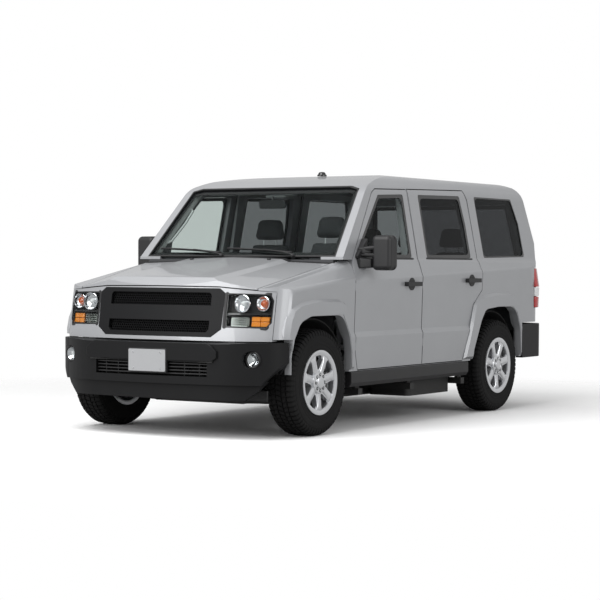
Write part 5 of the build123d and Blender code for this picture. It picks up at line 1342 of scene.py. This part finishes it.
@dataclass
class Headlamp(SideUnit):
    """One lamp unit: main and outer reflectors over a low reflector and a turn lens, behind a clear cover."""

    main: Point2 = (0.688, 0.977)
    outer: Point2 = (0.832, 0.978)
    low: Point2 = (0.668, 0.852)
    turn: Point2 = (0.822, 0.853)
    main_radius: float = 0.066
    outer_radius: float = 0.056
    beam: Point3 = (1, 0, 0.10)
    bead_step: float = 0.0155

    def case(self) -> None:
        """Housing, bezel with its cross bar, and the frame that laps over the body."""
        house = Shape().slab(0.572, 0.912, 10, LAMP_LOW, LAMP_HIGH, nose_skin, -0.072, -0.064)
        self.put(house, "lamp_housing", BLACK)
        outer = rounded(shrunk(LAMP, 0.0008), 0.010)
        bezel = Shape().band(outer, shrunk(outer, 0.011), nose_skin, -0.064, -0.004)
        bezel.slab(0.590, 0.906, 10, ((0.0, 0.899),), ((0.0, 0.911),), nose_skin, -0.060, -0.012)
        self.put(bezel, "lamp_bezel", GLOSS, 0.002)
        lip = Shape().band(rounded(LAMP_FRAME, 0.022), rounded(shrunk(LAMP, 0.007), 0.016), nose_skin, -0.010, 0.0032)
        self.put(lip, "lamp_frame", BLACK, 0.0012)

    def bowl(self, at: Point2, radius: float, depth: float, lift: float) -> Shape:
        """A reflector bowl that opens forward, with a rim round its mouth."""
        rim, eye, steps = radius - 0.007, 0.012, 6
        profile = [(-0.004, radius), (0.0, radius), (0.002, radius - 0.004), (-0.004, rim)]
        for step in range(1, steps + 1):
            t = step / steps
            profile.append((-0.004 - depth * t ** 0.6, rim * (1 - t) + eye * t))
        profile += [(-0.004 - depth, 0.0), (-0.008 - depth, 0.0), (-0.010, radius)]
        return Shape().turned(profile, (nose_skin(*at)[0] + lift, *at), self.beam)

    def bulb(self, at: Point2, profile: Sequence[Point2], sides: int) -> Shape:
        """A turned piece in the middle of a reflector."""
        return Shape().turned(profile, (nose_skin(*at)[0] - 0.030, *at), self.beam, sides)

    def upper_lamps(self) -> None:
        """Main and outer reflectors with what stands in them."""
        shield = ((-0.022, 0.0), (-0.022, 0.020), (-0.004, 0.021), (0.004, 0.017), (0.009, 0.009), (0.011, 0.0))
        ruby = ((-0.014, 0.0), (-0.014, 0.028), (-0.004, 0.029), (0.006, 0.022), (0.010, 0.010), (0.011, 0.0))
        self.put(self.bowl(self.main, self.main_radius, 0.040, -0.014), "main_reflector", CHROME)
        self.put(self.bulb(self.main, shield, 32), "main_bulb_shield", WHITE_LENS)
        self.put(self.bowl(self.outer, self.outer_radius, 0.030, -0.016), "outer_reflector", CHROME)
        self.put(self.bulb(self.outer, ruby, 36), "outer_bulb_lens", RUBY)

    def low_lamp(self) -> None:
        """Grey low reflector with rows of beads."""
        y, z = self.low
        plate = Shape().laid(oblong(y, z, 0.138, 0.072, 0.016), nose_skin, -0.062, -0.040)
        self.put(plate, "low_reflector", LAMP_GREY, 0.004)
        bead = Shape().turned(((-0.004, 0.0), (-0.004, 0.0065), (0.002, 0.0065), (0.005, 0.004), (0.006, 0.0)),
                              (nose_skin(y, z)[0] - 0.036, self.sign * y, z), (1, 0, 0), 10)
        tree = row_tree("lens_beads_" + self.side, self.fitter.shop.of(LAMP_GREY))
        beads = tree.grow("low_reflector_beads_" + self.side, bead.solid("bead_" + self.side), Columns=8, Rows=4,
                          Step_Y=self.bead_step, Step_Z=self.bead_step, Lean=NOSE_LEAN)
        self.fitter.fit(beads, "body", LAMP_GREY)

    def turn_lamp(self) -> None:
        """Amber turn lens in four panes, on its black frame."""
        y, z = self.turn
        panes = Shape()
        for column in (-1, 1):
            for row in (-1, 1):
                lens = oblong(y + column * 0.032, z + row * 0.0185, 0.060, 0.034, 0.006)
                panes.laid(lens, nose_skin, -0.052, -0.026)
        self.put(panes, "turn_lens", AMBER, 0.003)
        back = Shape().laid(oblong(y, z, 0.134, 0.080, 0.012), nose_skin, -0.062, -0.046)
        self.put(back, "turn_lens_frame", GLOSS, 0.002)

    def cover(self) -> None:
        """Clear cover; the left one stands for the CAD node of both lamps."""
        gap = 0.001
        low, high = [(y, z + gap) for y, z in LAMP_LOW], [(y, z - gap) for y, z in LAMP_HIGH]
        glass = Shape().slab(0.5735, 0.9105, 14, low, high, nose_skin, -0.0065, -0.0035)
        self.put(glass, "headlamp_cover", COVER, smooth=40, slot="lamp_chrome",
                 instead=["headlamps"] if self.sign > 0 else [])

    def build(self) -> None:
        """Fit the lamp."""
        self.case()
        self.upper_lamps()
        self.low_lamp()
        self.turn_lamp()
        self.cover()


@dataclass
class FogLamp(SideUnit):
    """One round fog lamp in the bumper: ring, reflector, bulb and domed lens."""

    at: Point2 = (0.820, 0.580)
    radius: float = 0.046
    sunk: float = 0.016

    def turned(self, profile: Sequence[Point2], sides: int = 40) -> Shape:
        """Turn a profile about the lamp's own axis."""
        x, y, z = bumper_skin(*self.at)
        return Shape().turned(profile, (x - self.sunk, y, z), (1, 0, 0), sides)

    def build(self) -> None:
        """Fit the lamp; the left ring stands for the CAD node of both."""
        r = self.radius
        ring = ((-0.030, 0.0605), (0.004, 0.0605), (0.007, 0.057), (0.004, 0.049), (-0.012, 0.047), (-0.030, 0.047))
        self.put(self.turned(ring), "fog_ring", BLACK, slot="lamp_chrome",
                 instead=["fog_lamps"] if self.sign > 0 else [])
        bowl = ((0.0, r + 0.001), (-0.003, r - 0.003), (-0.018, 0.030), (-0.026, 0.012), (-0.027, 0.0),
                (-0.030, 0.0), (-0.030, r + 0.001))
        self.put(self.turned(bowl), "fog_reflector", CHROME)
        bulb = ((-0.012, 0.0), (-0.012, 0.012), (-0.006, 0.014), (-0.002, 0.010), (0.0, 0.0))
        self.put(self.turned(bulb, 24), "fog_bulb", WHITE_LENS)
        dome = ((0.0, r), (0.003, 0.036), (0.005, 0.020), (0.006, 0.0), (0.003, 0.0), (0.0, 0.036), (-0.003, r))
        self.put(self.turned(dome), "fog_lens", COVER)


@dataclass
class FrontEnd:
    """Grille mesh, lamps, bumper trim, number plate and washer nozzles."""

    fitter: Assembler
    cell: float = 0.0115
    cell_wall: float = 0.0021
    cell_depth: float = 0.012
    mesh_width: float = 0.888
    mesh_bow: float = 0.116
    plate_z: float = 0.561
    plate_size: Point2 = (0.330, 0.160)

    def honeycomb(self) -> None:
        """Honeycomb above and below the grille's middle bar, with a dark sheet behind it as painted shade."""
        self.fitter.fit(cad_copy("grille", "grille_frame", 0.004), "body", GRILLE, "grille_plastic", ["grille"])
        tree = row_tree("honeycomb", self.fitter.shop.of(GRILLE))
        step_y, step_z = self.cell * math.sqrt(3), self.cell * 1.5
        for name, low, high in (("lower", 0.764, 0.856), ("upper", 0.958, 1.058)):
            x, _, z = nose_skin(0.0, (low + high) / 2)
            seed = hex_cell(self.cell, self.cell_wall, self.cell_depth, (x - 0.020, 0.0, z))
            mesh = tree.grow("grille_mesh_" + name, seed.solid("cell_" + name), Columns=int(self.mesh_width / step_y),
                             Rows=int((high - low) / step_z), Step_Y=step_y, Step_Z=step_z, Shift=step_y / 2,
                             Bow=self.mesh_bow, Lean=NOSE_LEAN)
            self.fitter.fit(mesh, "body", GRILLE)
        # Dark sheet behind the honeycomb: painted shade of the space behind the grille.
        back = Shape().slab(-0.46, 0.46, 12, ((-1.0, 0.740),), ((-1.0, 1.070),), nose_skin, -0.058, -0.050)
        self.fitter.fit(back.solid("grille_shade_sheet"), "body", LINER)

    def intake(self) -> None:
        """Slats in the bumper's wide opening, with a dark sheet behind them as painted shade."""
        slats = Shape()
        for z in (0.470, 0.494, 0.518, 0.542):
            slats.slab(-0.499, 0.499, 16, ((-1.0, z - 0.0045),), ((-1.0, z + 0.0045),), bumper_skin, -0.058, -0.018)
        for y in (-0.42, -0.30, 0.30, 0.42):
            slats.slab(y - 0.004, y + 0.004, 1, ((-1.0, 0.4535),), ((-1.0, 0.5585),), bumper_skin, -0.062, -0.030)
        self.fitter.fit(slats.solid("intake_slats", 0.0015), "body", BLACK)
        # Dark sheet behind the slats: painted shade of the space behind the intake.
        back = Shape().slab(-0.54, 0.54, 12, ((-1.0, 0.430),), ((-1.0, 0.590),), bumper_skin, -0.100, -0.090)
        self.fitter.fit(back.solid("intake_shade_sheet"), "body", LINER)

    def moulding(self) -> None:
        """Raised middle of the bumper over the intake, with slanted ends."""
        end, mid_z = 0.585, 0.640
        low = ((-end, 0.590), (-0.545, 0.5655), (0.545, 0.5655), (end, 0.590))
        high = ((-end, mid_z), (-0.520, 0.694), (0.520, 0.694), (end, mid_z))
        raised = Shape().slab(-end, end, 30, low, high, middle_skin, -0.046, 0.0)
        self.fitter.fit(raised.solid("bumper_middle", 0.003), "body", BUMPER)

    def plate(self) -> None:
        """Blank number plate with its dark carrier and four screws."""
        width, height = self.plate_size
        carrier = oblong(0.0, self.plate_z, width + 0.016, height + 0.016, 0.012)
        plate = oblong(0.0, self.plate_z, width, height, 0.010)
        self.fitter.fit(Shape().laid(carrier, middle_skin, -0.020, 0.0030).solid("plate_carrier", 0.002), "body", BLACK)
        self.fitter.fit(Shape().laid(plate, middle_skin, 0.0030, 0.0060).solid("number_plate", 0.0008), "body", PLATE)
        screws = Shape()
        head = ((0.0, 0.0), (0.0, 0.0055), (0.0015, 0.005), (0.0022, 0.003), (0.0024, 0.0))
        for y in (-0.122, 0.122):
            for z in (self.plate_z - 0.058, self.plate_z + 0.058):
                screws.turned(head, (middle_skin(y, z)[0] + 0.0058, y, z), (1, 0, 0), 16)
        self.fitter.fit(screws.solid("plate_screws"), "body", NUT)

    def flaps(self) -> None:
        """Small air flaps under the bumper's corners, ahead of the tyres."""
        for side, sign in SIDES:
            flap = Shape().block((2.062, 0.580, 0.276), (2.078, 0.852, 0.352)).flipped(sign)
            self.fitter.fit(flap.solid("air_flap_" + side, 0.004), "body", BLACK)

    def nozzles(self) -> None:
        """Two washer nozzles on the hood's rear edge."""
        low = Shape()
        for y in (-0.36, 0.36):
            low.block((1.292, y - 0.012, 1.288), (1.318, y + 0.012, 1.3045))
        self.fitter.fit(low.solid("washer_nozzles", 0.004), "hood", BLACK)

    def build(self) -> None:
        """Fit the whole front end."""
        self.honeycomb()
        for side, sign in SIDES:
            Headlamp(self.fitter, side, sign).build()
            FogLamp(self.fitter, side, sign).build()
        self.intake()
        self.moulding()
        self.plate()
        self.flaps()
        self.nozzles()


# ---------------------------------------------------------------- outside trim


@dataclass
class Mirror(SideUnit):
    """One side's mirror, with the handles that share its CAD nodes."""

    pane_y: Point2 = (1.044, 1.180)
    pane_x: Point2 = (0.8040, 0.8005)
    arm_y: Point3 = (0.946, 0.985, 1.034)

    def housings(self) -> None:
        """Rounded mirror housing and handles."""
        for end in ("front", "rear"):
            node = f"{end}_door_trim_{self.side}"
            piece = cad_copy(node, f"{end}_mirror_and_handle_{self.side}", 0.006, 40)
            self.fitter.fit(piece, f"door_{end}_{self.side}", BLACK, "black_plastic", [node])

    def build(self) -> None:
        """Fit the housings, the two panes, the seam round the housing and the two arms."""
        self.housings()
        door = "door_front_" + self.side
        panes = Shape()
        for low, high, radius in ((1.292, 1.470, 0.020), (1.230, 1.284, 0.014)):
            glass = pane((self.pane_y[0], low), (self.pane_y[1], high), radius)
            panes.loft([[(x, y, z) for y, z in glass] for x in self.pane_x])
        self.put(panes, "mirror_pane", MIRROR, 0.001, body=door)
        edge = pane((1.0270, 1.2160), (1.1970, 1.4840), 0.038)
        self.put(Shape().loft([[(x, y, z) for y, z in edge] for x in (0.826, 0.830)]), "mirror_seam", GLOSS, body=door)
        arms = Shape()
        for x0, x1, z0, z1 in ((0.862, 0.996, 1.232, 1.312), (0.880, 0.962, 1.340, 1.392)):
            near = pane((x0, z0), (x1, z1), 0.016)
            far = pane((x0 - 0.030, z0 + 0.006), (x1 - 0.074, z1 - 0.010), 0.014)
            arms.loft([[(x, y, z) for x, z in outline] for outline, y in zip((near, near, far), self.arm_y)])
        self.put(arms, "mirror_arms", BLACK, 0.003, body=door)


def over_screen(y: float, z: float, lift: float) -> Point3:
    """Point that stands off the windscreen by a lift."""
    return tuple(Vector(screen_skin(y, z)) + OUT[screen_skin] * lift)


@dataclass
class Trim:
    """Mirrors, handles, wipers, tail lamps and rear plate."""

    fitter: Assembler

    def wipers(self) -> None:
        """Two parked wipers with arms, blades and pivots."""
        hub = ((-0.012, 0.0), (-0.012, 0.020), (0.020, 0.017), (0.028, 0.010), (0.030, 0.0))
        for name, pivot_y, tip_y in (("left", 0.50, -0.10), ("right", -0.16, -0.74)):
            arm = Shape().tube([over_screen(pivot_y, 1.322, 0.020), over_screen(pivot_y - 0.10, 1.336, 0.030),
                                over_screen((pivot_y + tip_y) / 2, 1.362, 0.018)], 0.0065, 10)
            arm.turned(hub, over_screen(pivot_y, 1.318, 0.0), OUT[screen_skin], 20)
            self.fitter.fit(arm.solid("wiper_arm_" + name), "body", BLACK)
            rings = []
            for step in range(9):
                t = step / 8
                y = pivot_y - 0.02 + (tip_y - pivot_y - 0.02) * t
                z = 1.345 + 0.032 * math.sin(t * 1.4)
                rings.append([over_screen(y, z + rise, lift) for rise, lift in (
                    (-0.006, 0.004), (0.006, 0.004), (0.003, 0.014), (-0.003, 0.014))])
            self.fitter.fit(Shape().loft(rings).solid("wiper_blade_" + name), "body", SEAL)

    def tail_lamps(self) -> None:
        """Wrapped rear lamps: red above and below a clear middle segment, on a dark base."""
        segments = (("low", 0.880, 0.976, RED), ("clear", 0.981, 1.060, WHITE_LENS), ("top", 1.065, 1.230, RED))
        for side, sign in SIDES:
            for label, low, high, finish in segments:
                rings = [[(x, y + along(BODY_SECTION, z) - 0.992, z) for x, y in TAIL_LAMP_PLAN] for z in (low, high)]
                lens = Shape().loft(rings).flipped(sign).solid(f"tail_lens_{label}_{side}", 0.005, 3)
                first = label == "low" and sign > 0
                self.fitter.fit(lens, "body", finish, "red_lens", ["tail_lamps"] if first else [])
            rings = [[(x * 0.997 + 0.004, y + along(BODY_SECTION, z) - 1.001, z) for x, y in TAIL_LAMP_PLAN]
                     for z in (0.8785, 1.2315)]
            self.fitter.fit(Shape().loft(rings).flipped(sign).solid("tail_lamp_base_" + side), "body", BLACK)

    def rear_plate(self) -> None:
        """Blank rear plate under the tailgate window, with a handle bar above it."""
        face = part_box("tailgate")[0][0]
        plate = Shape().block((face - 0.0060, -0.165, 0.830), (face + 0.0040, 0.165, 0.990))
        self.fitter.fit(plate.solid("rear_number_plate", 0.001), "tailgate", PLATE)
        bar = Shape().block((face - 0.0200, -0.210, 1.010), (face + 0.0060, 0.210, 1.050))
        self.fitter.fit(bar.solid("tailgate_handle_bar", 0.006), "tailgate", BLACK)

    def build(self) -> None:
        """Fit the trim."""
        for side, sign in SIDES:
            Mirror(self.fitter, side, sign).build()
        self.wipers()
        self.tail_lamps()
        self.rear_plate()


# ---------------------------------------------------------------- cabin


REMESH_CELL = 0.006
CUSHION_PRESSURE = 4.0
CUSHION_STIFFNESS = 12.0
CUSHION_FRAMES = 12


def cushion(name: str, low: Point3, high: Point3, puff: float, lean: float = 0.0,
            waist: float = 0.0) -> bpy.types.Object:
    """Soft block that a cloth simulation blows up under its seams.

    Args:
        name: Name of the object made.
        low: Its lowest corner.
        high: Its highest corner.
        puff: Farthest that its surface may rise.
        lean: How far it leans back, in metres of x over each metre of z.
        waist: Share by which the top is narrower.

    Returns:
        The cushion, in place.
    """
    rows, seam = 7, 0.018
    y_mid, width = (low[1] + high[1]) / 2, high[1] - low[1]
    rings = []
    for row in range(rows + 1):
        t = row / rows
        z = low[2] + (high[2] - low[2]) * t
        back = -lean * (z - low[2])
        half = width / 2 * (1.0 - waist * t)
        soft = seam * (1 - abs(2 * t - 1) ** 6) - seam
        corners = rounded([(low[0] + back - soft, y_mid - half - soft), (high[0] + back + soft, y_mid - half - soft),
                           (high[0] + back + soft, y_mid + half + soft), (low[0] + back - soft, y_mid + half + soft)],
                          0.030, 3)
        rings.append([(x, y, z) for x, y in corners])
    obj = Shape().loft(rings).solid(name, smooth=60)
    remesh = obj.modifiers.new("remesh", "REMESH")
    remesh.mode = "VOXEL"
    remesh.voxel_size = REMESH_CELL
    depsgraph = bpy.context.evaluated_depsgraph_get()
    dense = bpy.data.meshes.new_from_object(obj.evaluated_get(depsgraph))
    obj.modifiers.clear()
    obj.data = dense
    rest = [v.co.copy() for v in dense.vertices]
    cloth = obj.modifiers.new("cloth", "CLOTH")
    cloth.settings.use_pressure = True
    cloth.settings.uniform_pressure_force = CUSHION_PRESSURE
    cloth.settings.effector_weights.gravity = 0.0
    cloth.settings.tension_stiffness = CUSHION_STIFFNESS
    cloth.settings.compression_stiffness = CUSHION_STIFFNESS
    cloth.point_cache.frame_start = 1
    cloth.point_cache.frame_end = CUSHION_FRAMES
    for step in range(1, CUSHION_FRAMES + 1):
        bpy.context.scene.frame_set(step)
    depsgraph = bpy.context.evaluated_depsgraph_get()
    blown = bpy.data.meshes.new_from_object(obj.evaluated_get(depsgraph))
    obj.modifiers.clear()
    obj.data = blown
    for vertex, start in zip(blown.vertices, rest):
        step_out = vertex.co - start
        if step_out.length > puff:
            vertex.co = start + step_out.normalized() * puff
    blown.name = name
    blown.shade_smooth()
    return obj


@dataclass
class Seat:
    """A seat's cushion, back, headrest, its posts and its base."""

    fitter: Assembler
    name: str
    node: str
    x: float
    y: float
    width: float
    floor: float
    base: float
    top: float
    head: float

    def soft(self, label: str, low: Point3, high: Point3, puff: float, lean: float = 0.0, waist: float = 0.0) -> None:
        piece = cushion(f"{self.name}_{label}", low, high, puff, lean, waist=waist)
        self.fitter.fit(piece, "body", CLOTH, "seat_cloth", [self.node])

    def build(self) -> None:
        """Make the seat."""
        x, y, half = self.x, self.y, self.width / 2
        self.soft("cushion", (x + 0.006, y - half + 0.012, self.base + 0.012),
                  (x + 0.472, y + half - 0.012, self.base + 0.118), 0.010)
        self.soft("back", (x - 0.066, y - half + 0.020, self.base + 0.050),
                  (x + 0.036, y + half - 0.020, self.top - 0.014), 0.010, 0.130, 0.16)
        depth = min(0.27, self.width * 0.6) / 2
        self.soft("headrest", (x - 0.134, y - depth, self.head - 0.075), (x - 0.050, y + depth, self.head + 0.085),
                  0.010, 0.05, 0.22)
        posts = Shape()
        for dy in (-0.06, 0.06):
            posts.tube([(x - 0.092, y + dy, self.top - 0.05), (x - 0.092, y + dy, self.head - 0.05)], 0.006, 10)
        self.fitter.fit(posts.solid(self.name + "_posts"), "body", CHROME)
        base = Shape().block((x + 0.055, y - half + 0.060, self.floor + 0.001),
                             (x + 0.375, y + half - 0.060, self.base + 0.010))
        base.block((x + 0.030, y - half + 0.020, self.base - 0.035), (x + 0.440, y + half - 0.020, self.base + 0.010))
        self.fitter.fit(base.solid(self.name + "_base", 0.010), "body", DASH)


@dataclass
class SideLining(SideUnit):
    """One side's pillar trim, grab handle and door cards."""

    pillar_low: float = 1.330
    pillar_rise: float = 0.500
    card_y: Point2 = (0.905, 0.893)
    card_radius: float = 0.04

    def pillar(self) -> None:
        """Trim of the windscreen pillar."""
        rings = []
        for step in range(7):
            z = self.pillar_low + self.pillar_rise * step / 6
            x, y = screen_skin(0.0, z)[0] - 0.105, along(BODY_SECTION, z) - 0.068
            rings.append([(x, y, z), (x + 0.060, y - 0.004, z), (x + 0.062, y - 0.034, z), (x, y - 0.040, z)])
        self.put(Shape().loft(rings), "pillar_trim", LINING, 0.006)

    def grab_handle(self) -> None:
        """Bowed handle on the pillar trim."""
        path = []
        for t, off in ((0.18, 0.0), (0.22, 0.030), (0.50, 0.040), (0.72, 0.030), (0.76, 0.0)):
            z = self.pillar_low + self.pillar_rise * t
            path.append((screen_skin(0.0, z)[0] - 0.085 - off * 0.4, along(BODY_SECTION, z) - 0.096 - off, z))
        self.put(Shape().tube(path, 0.010), "grab_handle", LINING)

    def door_card(self, end: str, outline: Outline) -> None:
        """Card on the inside of a door under its window, with its armrest."""
        lower = [(x, z) for x, z in shrunk(outline, 0.045) if z < 1.285]
        rear_x, front_x = min(x for x, _ in lower), max(x for x, _ in lower)
        if end == "rear":
            flat = rounded([(-0.62, 0.50), (-0.05, 0.50), (-0.05, CARD_TOP_Z), (-0.96, CARD_TOP_Z), (-0.96, 1.060),
                            (-0.82, 0.86)], self.card_radius)
        else:
            foot = max(min(z for _, z in lower), 0.50) + 0.03
            flat = pane((rear_x + 0.03, foot), (front_x - 0.05, CARD_TOP_Z), self.card_radius)
        card = Shape().loft([[(x, y, z) for x, z in flat] for y in self.card_y])
        card.block((rear_x + 0.30, 0.850, 0.930), (rear_x + 0.62, 0.894, 0.975))
        self.put(card, f"{end}_door_card", DASH, 0.005, body=f"door_{end}_{self.side}")

    def build(self) -> None:
        """Fit the linings of the side."""
        self.pillar()
        self.grab_handle()
        self.door_card("front", FRONT_DOOR)
        self.door_card("rear", REAR_DOOR)


@dataclass
class Cabin:
    """Everything behind the glass: dash, wheel, seats, linings and floor."""

    fitter: Assembler

    def dash(self) -> None:
        """Dash body with rounded edges, binnacle hood and centre stack."""
        self.fitter.fit(cad_copy("dashboard", "dash_body", 0.012, 40), "body", DASH, "dash_plastic", ["dashboard"])
        rings = []
        for step in range(9):
            a = math.pi * step / 8
            y, z = 0.42 + 0.170 * math.cos(a), 1.262 + 0.052 * math.sin(a)
            rings.append([(0.968, y, z - 0.006), (1.100, y, z + 0.008), (1.100, y, z - 0.004), (0.968, y, z - 0.016)])
        self.fitter.fit(Shape().loft(rings).solid("binnacle_hood", 0.003), "body", DASH)
        face = ((0.985, 1.232), (1.000, 1.232), (1.030, 0.800), (0.982, 0.800))
        stack = Shape().loft([[(x, y, z) for x, z in face] for y in (-0.135, 0.135)])
        self.fitter.fit(stack.solid("centre_stack", 0.006), "body", GLOSS)

    def vents_and_knobs(self) -> None:
        """Four vents with five vanes each, and the heater knobs."""
        tree = row_tree("vent_vanes", self.fitter.shop.of(DASH))
        for label, y in (("left", 0.700), ("mid_left", 0.070), ("mid_right", -0.070), ("right", -0.700)):
            vane = Shape().block((0.962, y - 0.030, 1.196), (0.985, y + 0.030, 1.200)).solid("vane_" + label)
            vents = tree.grow("dash_vent_" + label, vane, Columns=1, Rows=5, Step_Y=0.1, Step_Z=0.009, Lean=-0.1)
            self.fitter.fit(vents, "body", GLOSS)
        knobs = Shape()
        for y in (-0.075, 0.0, 0.075):
            knobs.turned(((0.0, 0.0), (0.0, 0.018), (-0.018, 0.016), (-0.020, 0.0)), (0.984, y, 1.060), (1, 0, 0), 24)
        self.fitter.fit(knobs.solid("heater_knobs"), "body", CHROME)

    def steering(self) -> None:
        """Steering wheel and column with rounded edges."""
        piece = cad_copy("steering_wheel", "steering_wheel_dressed", 0.004, 45)
        self.fitter.fit(piece, "body", DASH, "dash_plastic", ["steering_wheel"])

    def roof_lining(self) -> None:
        """Lining under the roof, the console at the screen and the inner mirror."""
        heights = ((-1.9, 1.885), (-1.2, 1.925), (-0.6, 1.925), (0.0, 1.905), (0.30, 1.880), (0.56, 1.835))
        half, thick = 0.700, 0.008
        rings = [[(x, -half, z - 2 * thick), (x, half, z - 2 * thick), (x, half, z - thick), (x, -half, z - thick)]
                 for x, z in reversed(heights)]
        self.fitter.fit(Shape().loft(rings).solid("roof_lining", 0.003), "body", HEAD_LINING)
        console = Shape().loft([[(x, -y, high), (x, y, high), (x, y, low), (x, -y, low)]
                                for x, y, low, high in ((0.500, 0.115, 1.800, 1.828), (0.660, 0.095, 1.790, 1.815))])
        self.fitter.fit(console.solid("overhead_console", 0.008), "body", HEAD_LINING)
        back = oblong(0.0, 1.735, 0.250, 0.066, 0.028)
        mirror = Shape().loft([[(x, y, z) for y, z in back] for x in (0.688, 0.710)])
        mirror.tube([(0.705, 0.0, 1.750), (0.690, 0.0, 1.800)], 0.008, 10)
        self.fitter.fit(mirror.solid("inner_mirror", 0.004), "body", GLOSS)

    def carpets(self) -> None:
        """Carpet over the low floor and over the cargo deck."""
        mat = Shape().block((-0.790, -0.870, 0.4305), (1.140, 0.870, 0.4360))
        self.fitter.fit(mat.solid("floor_carpet", 0.002), "body", CARPET)
        deck = Shape().block((-2.190, -0.700, 0.7005), (-0.835, 0.700, 0.7060))
        self.fitter.fit(deck.solid("cargo_carpet", 0.002), "body", CARPET)

    def seats(self) -> None:
        """Driver, passenger and rear bench."""
        Seat(self.fitter, "driver", "driver_seat", 0.570, 0.420, 0.500, 0.431, 0.690, 1.440, 1.550).build()
        Seat(self.fitter, "passenger", "passenger_seat", 0.180, -0.420, 0.480, 0.431, 0.690, 1.430, 1.540).build()
        for label, y in (("right", -0.420), ("middle", 0.0), ("left", 0.420)):
            Seat(self.fitter, "bench_" + label, "rear_bench", -1.500, y, 0.414, 0.707, 0.830, 1.380, 1.490).build()

    def build(self) -> None:
        """Fit out the cabin."""
        self.dash()
        self.vents_and_knobs()
        self.steering()
        for side, sign in SIDES:
            SideLining(self.fitter, side, sign).build()
        self.roof_lining()
        self.carpets()
        self.seats()


# ---------------------------------------------------------------- ramp and whole


@dataclass
class Ramp:
    """Ramp plate, its carriage and its cassette."""

    fitter: Assembler
    cleat: float = 0.030
    cleat_row: float = 0.030

    def build(self) -> None:
        """Dress the three pieces and lay rows of raised cleats on the plate."""
        for node, body in (("ramp_plate", "ramp_plate"), ("ramp_carriage", "ramp_carriage"), ("ramp_cassette", "body")):
            self.fitter.fit(cad_copy(node, node + "_dressed", 0.0012), body, RAMP, "ramp_metal", [node])
        low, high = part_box("ramp_plate")
        x, y, half = (low[0] + high[0]) / 2, (low[1] + high[1]) / 2, self.cleat / 2
        seed = Shape().block((x - half, y - 0.003, high[2] - 0.0006), (x + half, y + 0.003, high[2] + 0.0012))
        tree = row_tree("ramp_cleats", self.fitter.shop.of(GRIP))
        step_x = self.cleat * 1.7
        grip = tree.grow("ramp_grip", seed.solid("cleat", 0.0005), Step_Y=self.cleat_row, Step_Z=0.0, Step_X=step_x,
                         Columns=int((high[1] - low[1] - 0.10) / self.cleat_row),
                         Rows=int((high[0] - low[0] - 0.08) / step_x), Shift=self.cleat_row / 2)
        self.fitter.fit(grip, "ramp_plate", GRIP)


def dress_rest(shop: Paintshop) -> None:
    """Give every CAD node its finish by the slot that the record names.

    Args:
        shop: Where the materials come from.
    """
    for part in frame["record"]["subparts"]:
        mesh = frame["nodes"][part["node"]].data
        mesh.materials.clear()
        mesh.materials.append(shop.of(SLOT_FINISH[part["material_slot"]]))


def main() -> None:
    """Build the dressed vehicle."""
    logging.basicConfig(level=logging.INFO, format="%(name)s: %(message)s")
    shop = Paintshop()
    fitter = Assembler(shop)
    dress_rest(shop)
    Bodywork(fitter).build()
    Glazing(fitter).build()
    for end, x in (("front", FRONT_AXLE_X), ("rear", REAR_AXLE_X)):
        for side, sign in SIDES:
            Wheel(fitter, f"{end}_{side}", (x, sign * WHEEL_Y, TYRE_RADIUS), sign).build()
    FrontEnd(fitter).build()
    Trim(fitter).build()
    Cabin(fitter).build()
    Ramp(fitter).build()
    Stage().build()
    LOG.info("fitted %d pieces", fitter.count)
    boxes = {"frame": FRAME_BOX, "dressed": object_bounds()}
    plain = {k: [[float(c) for c in corner] for corner in box] for k, box in boxes.items()}


if __name__ == "__main__":
    main()
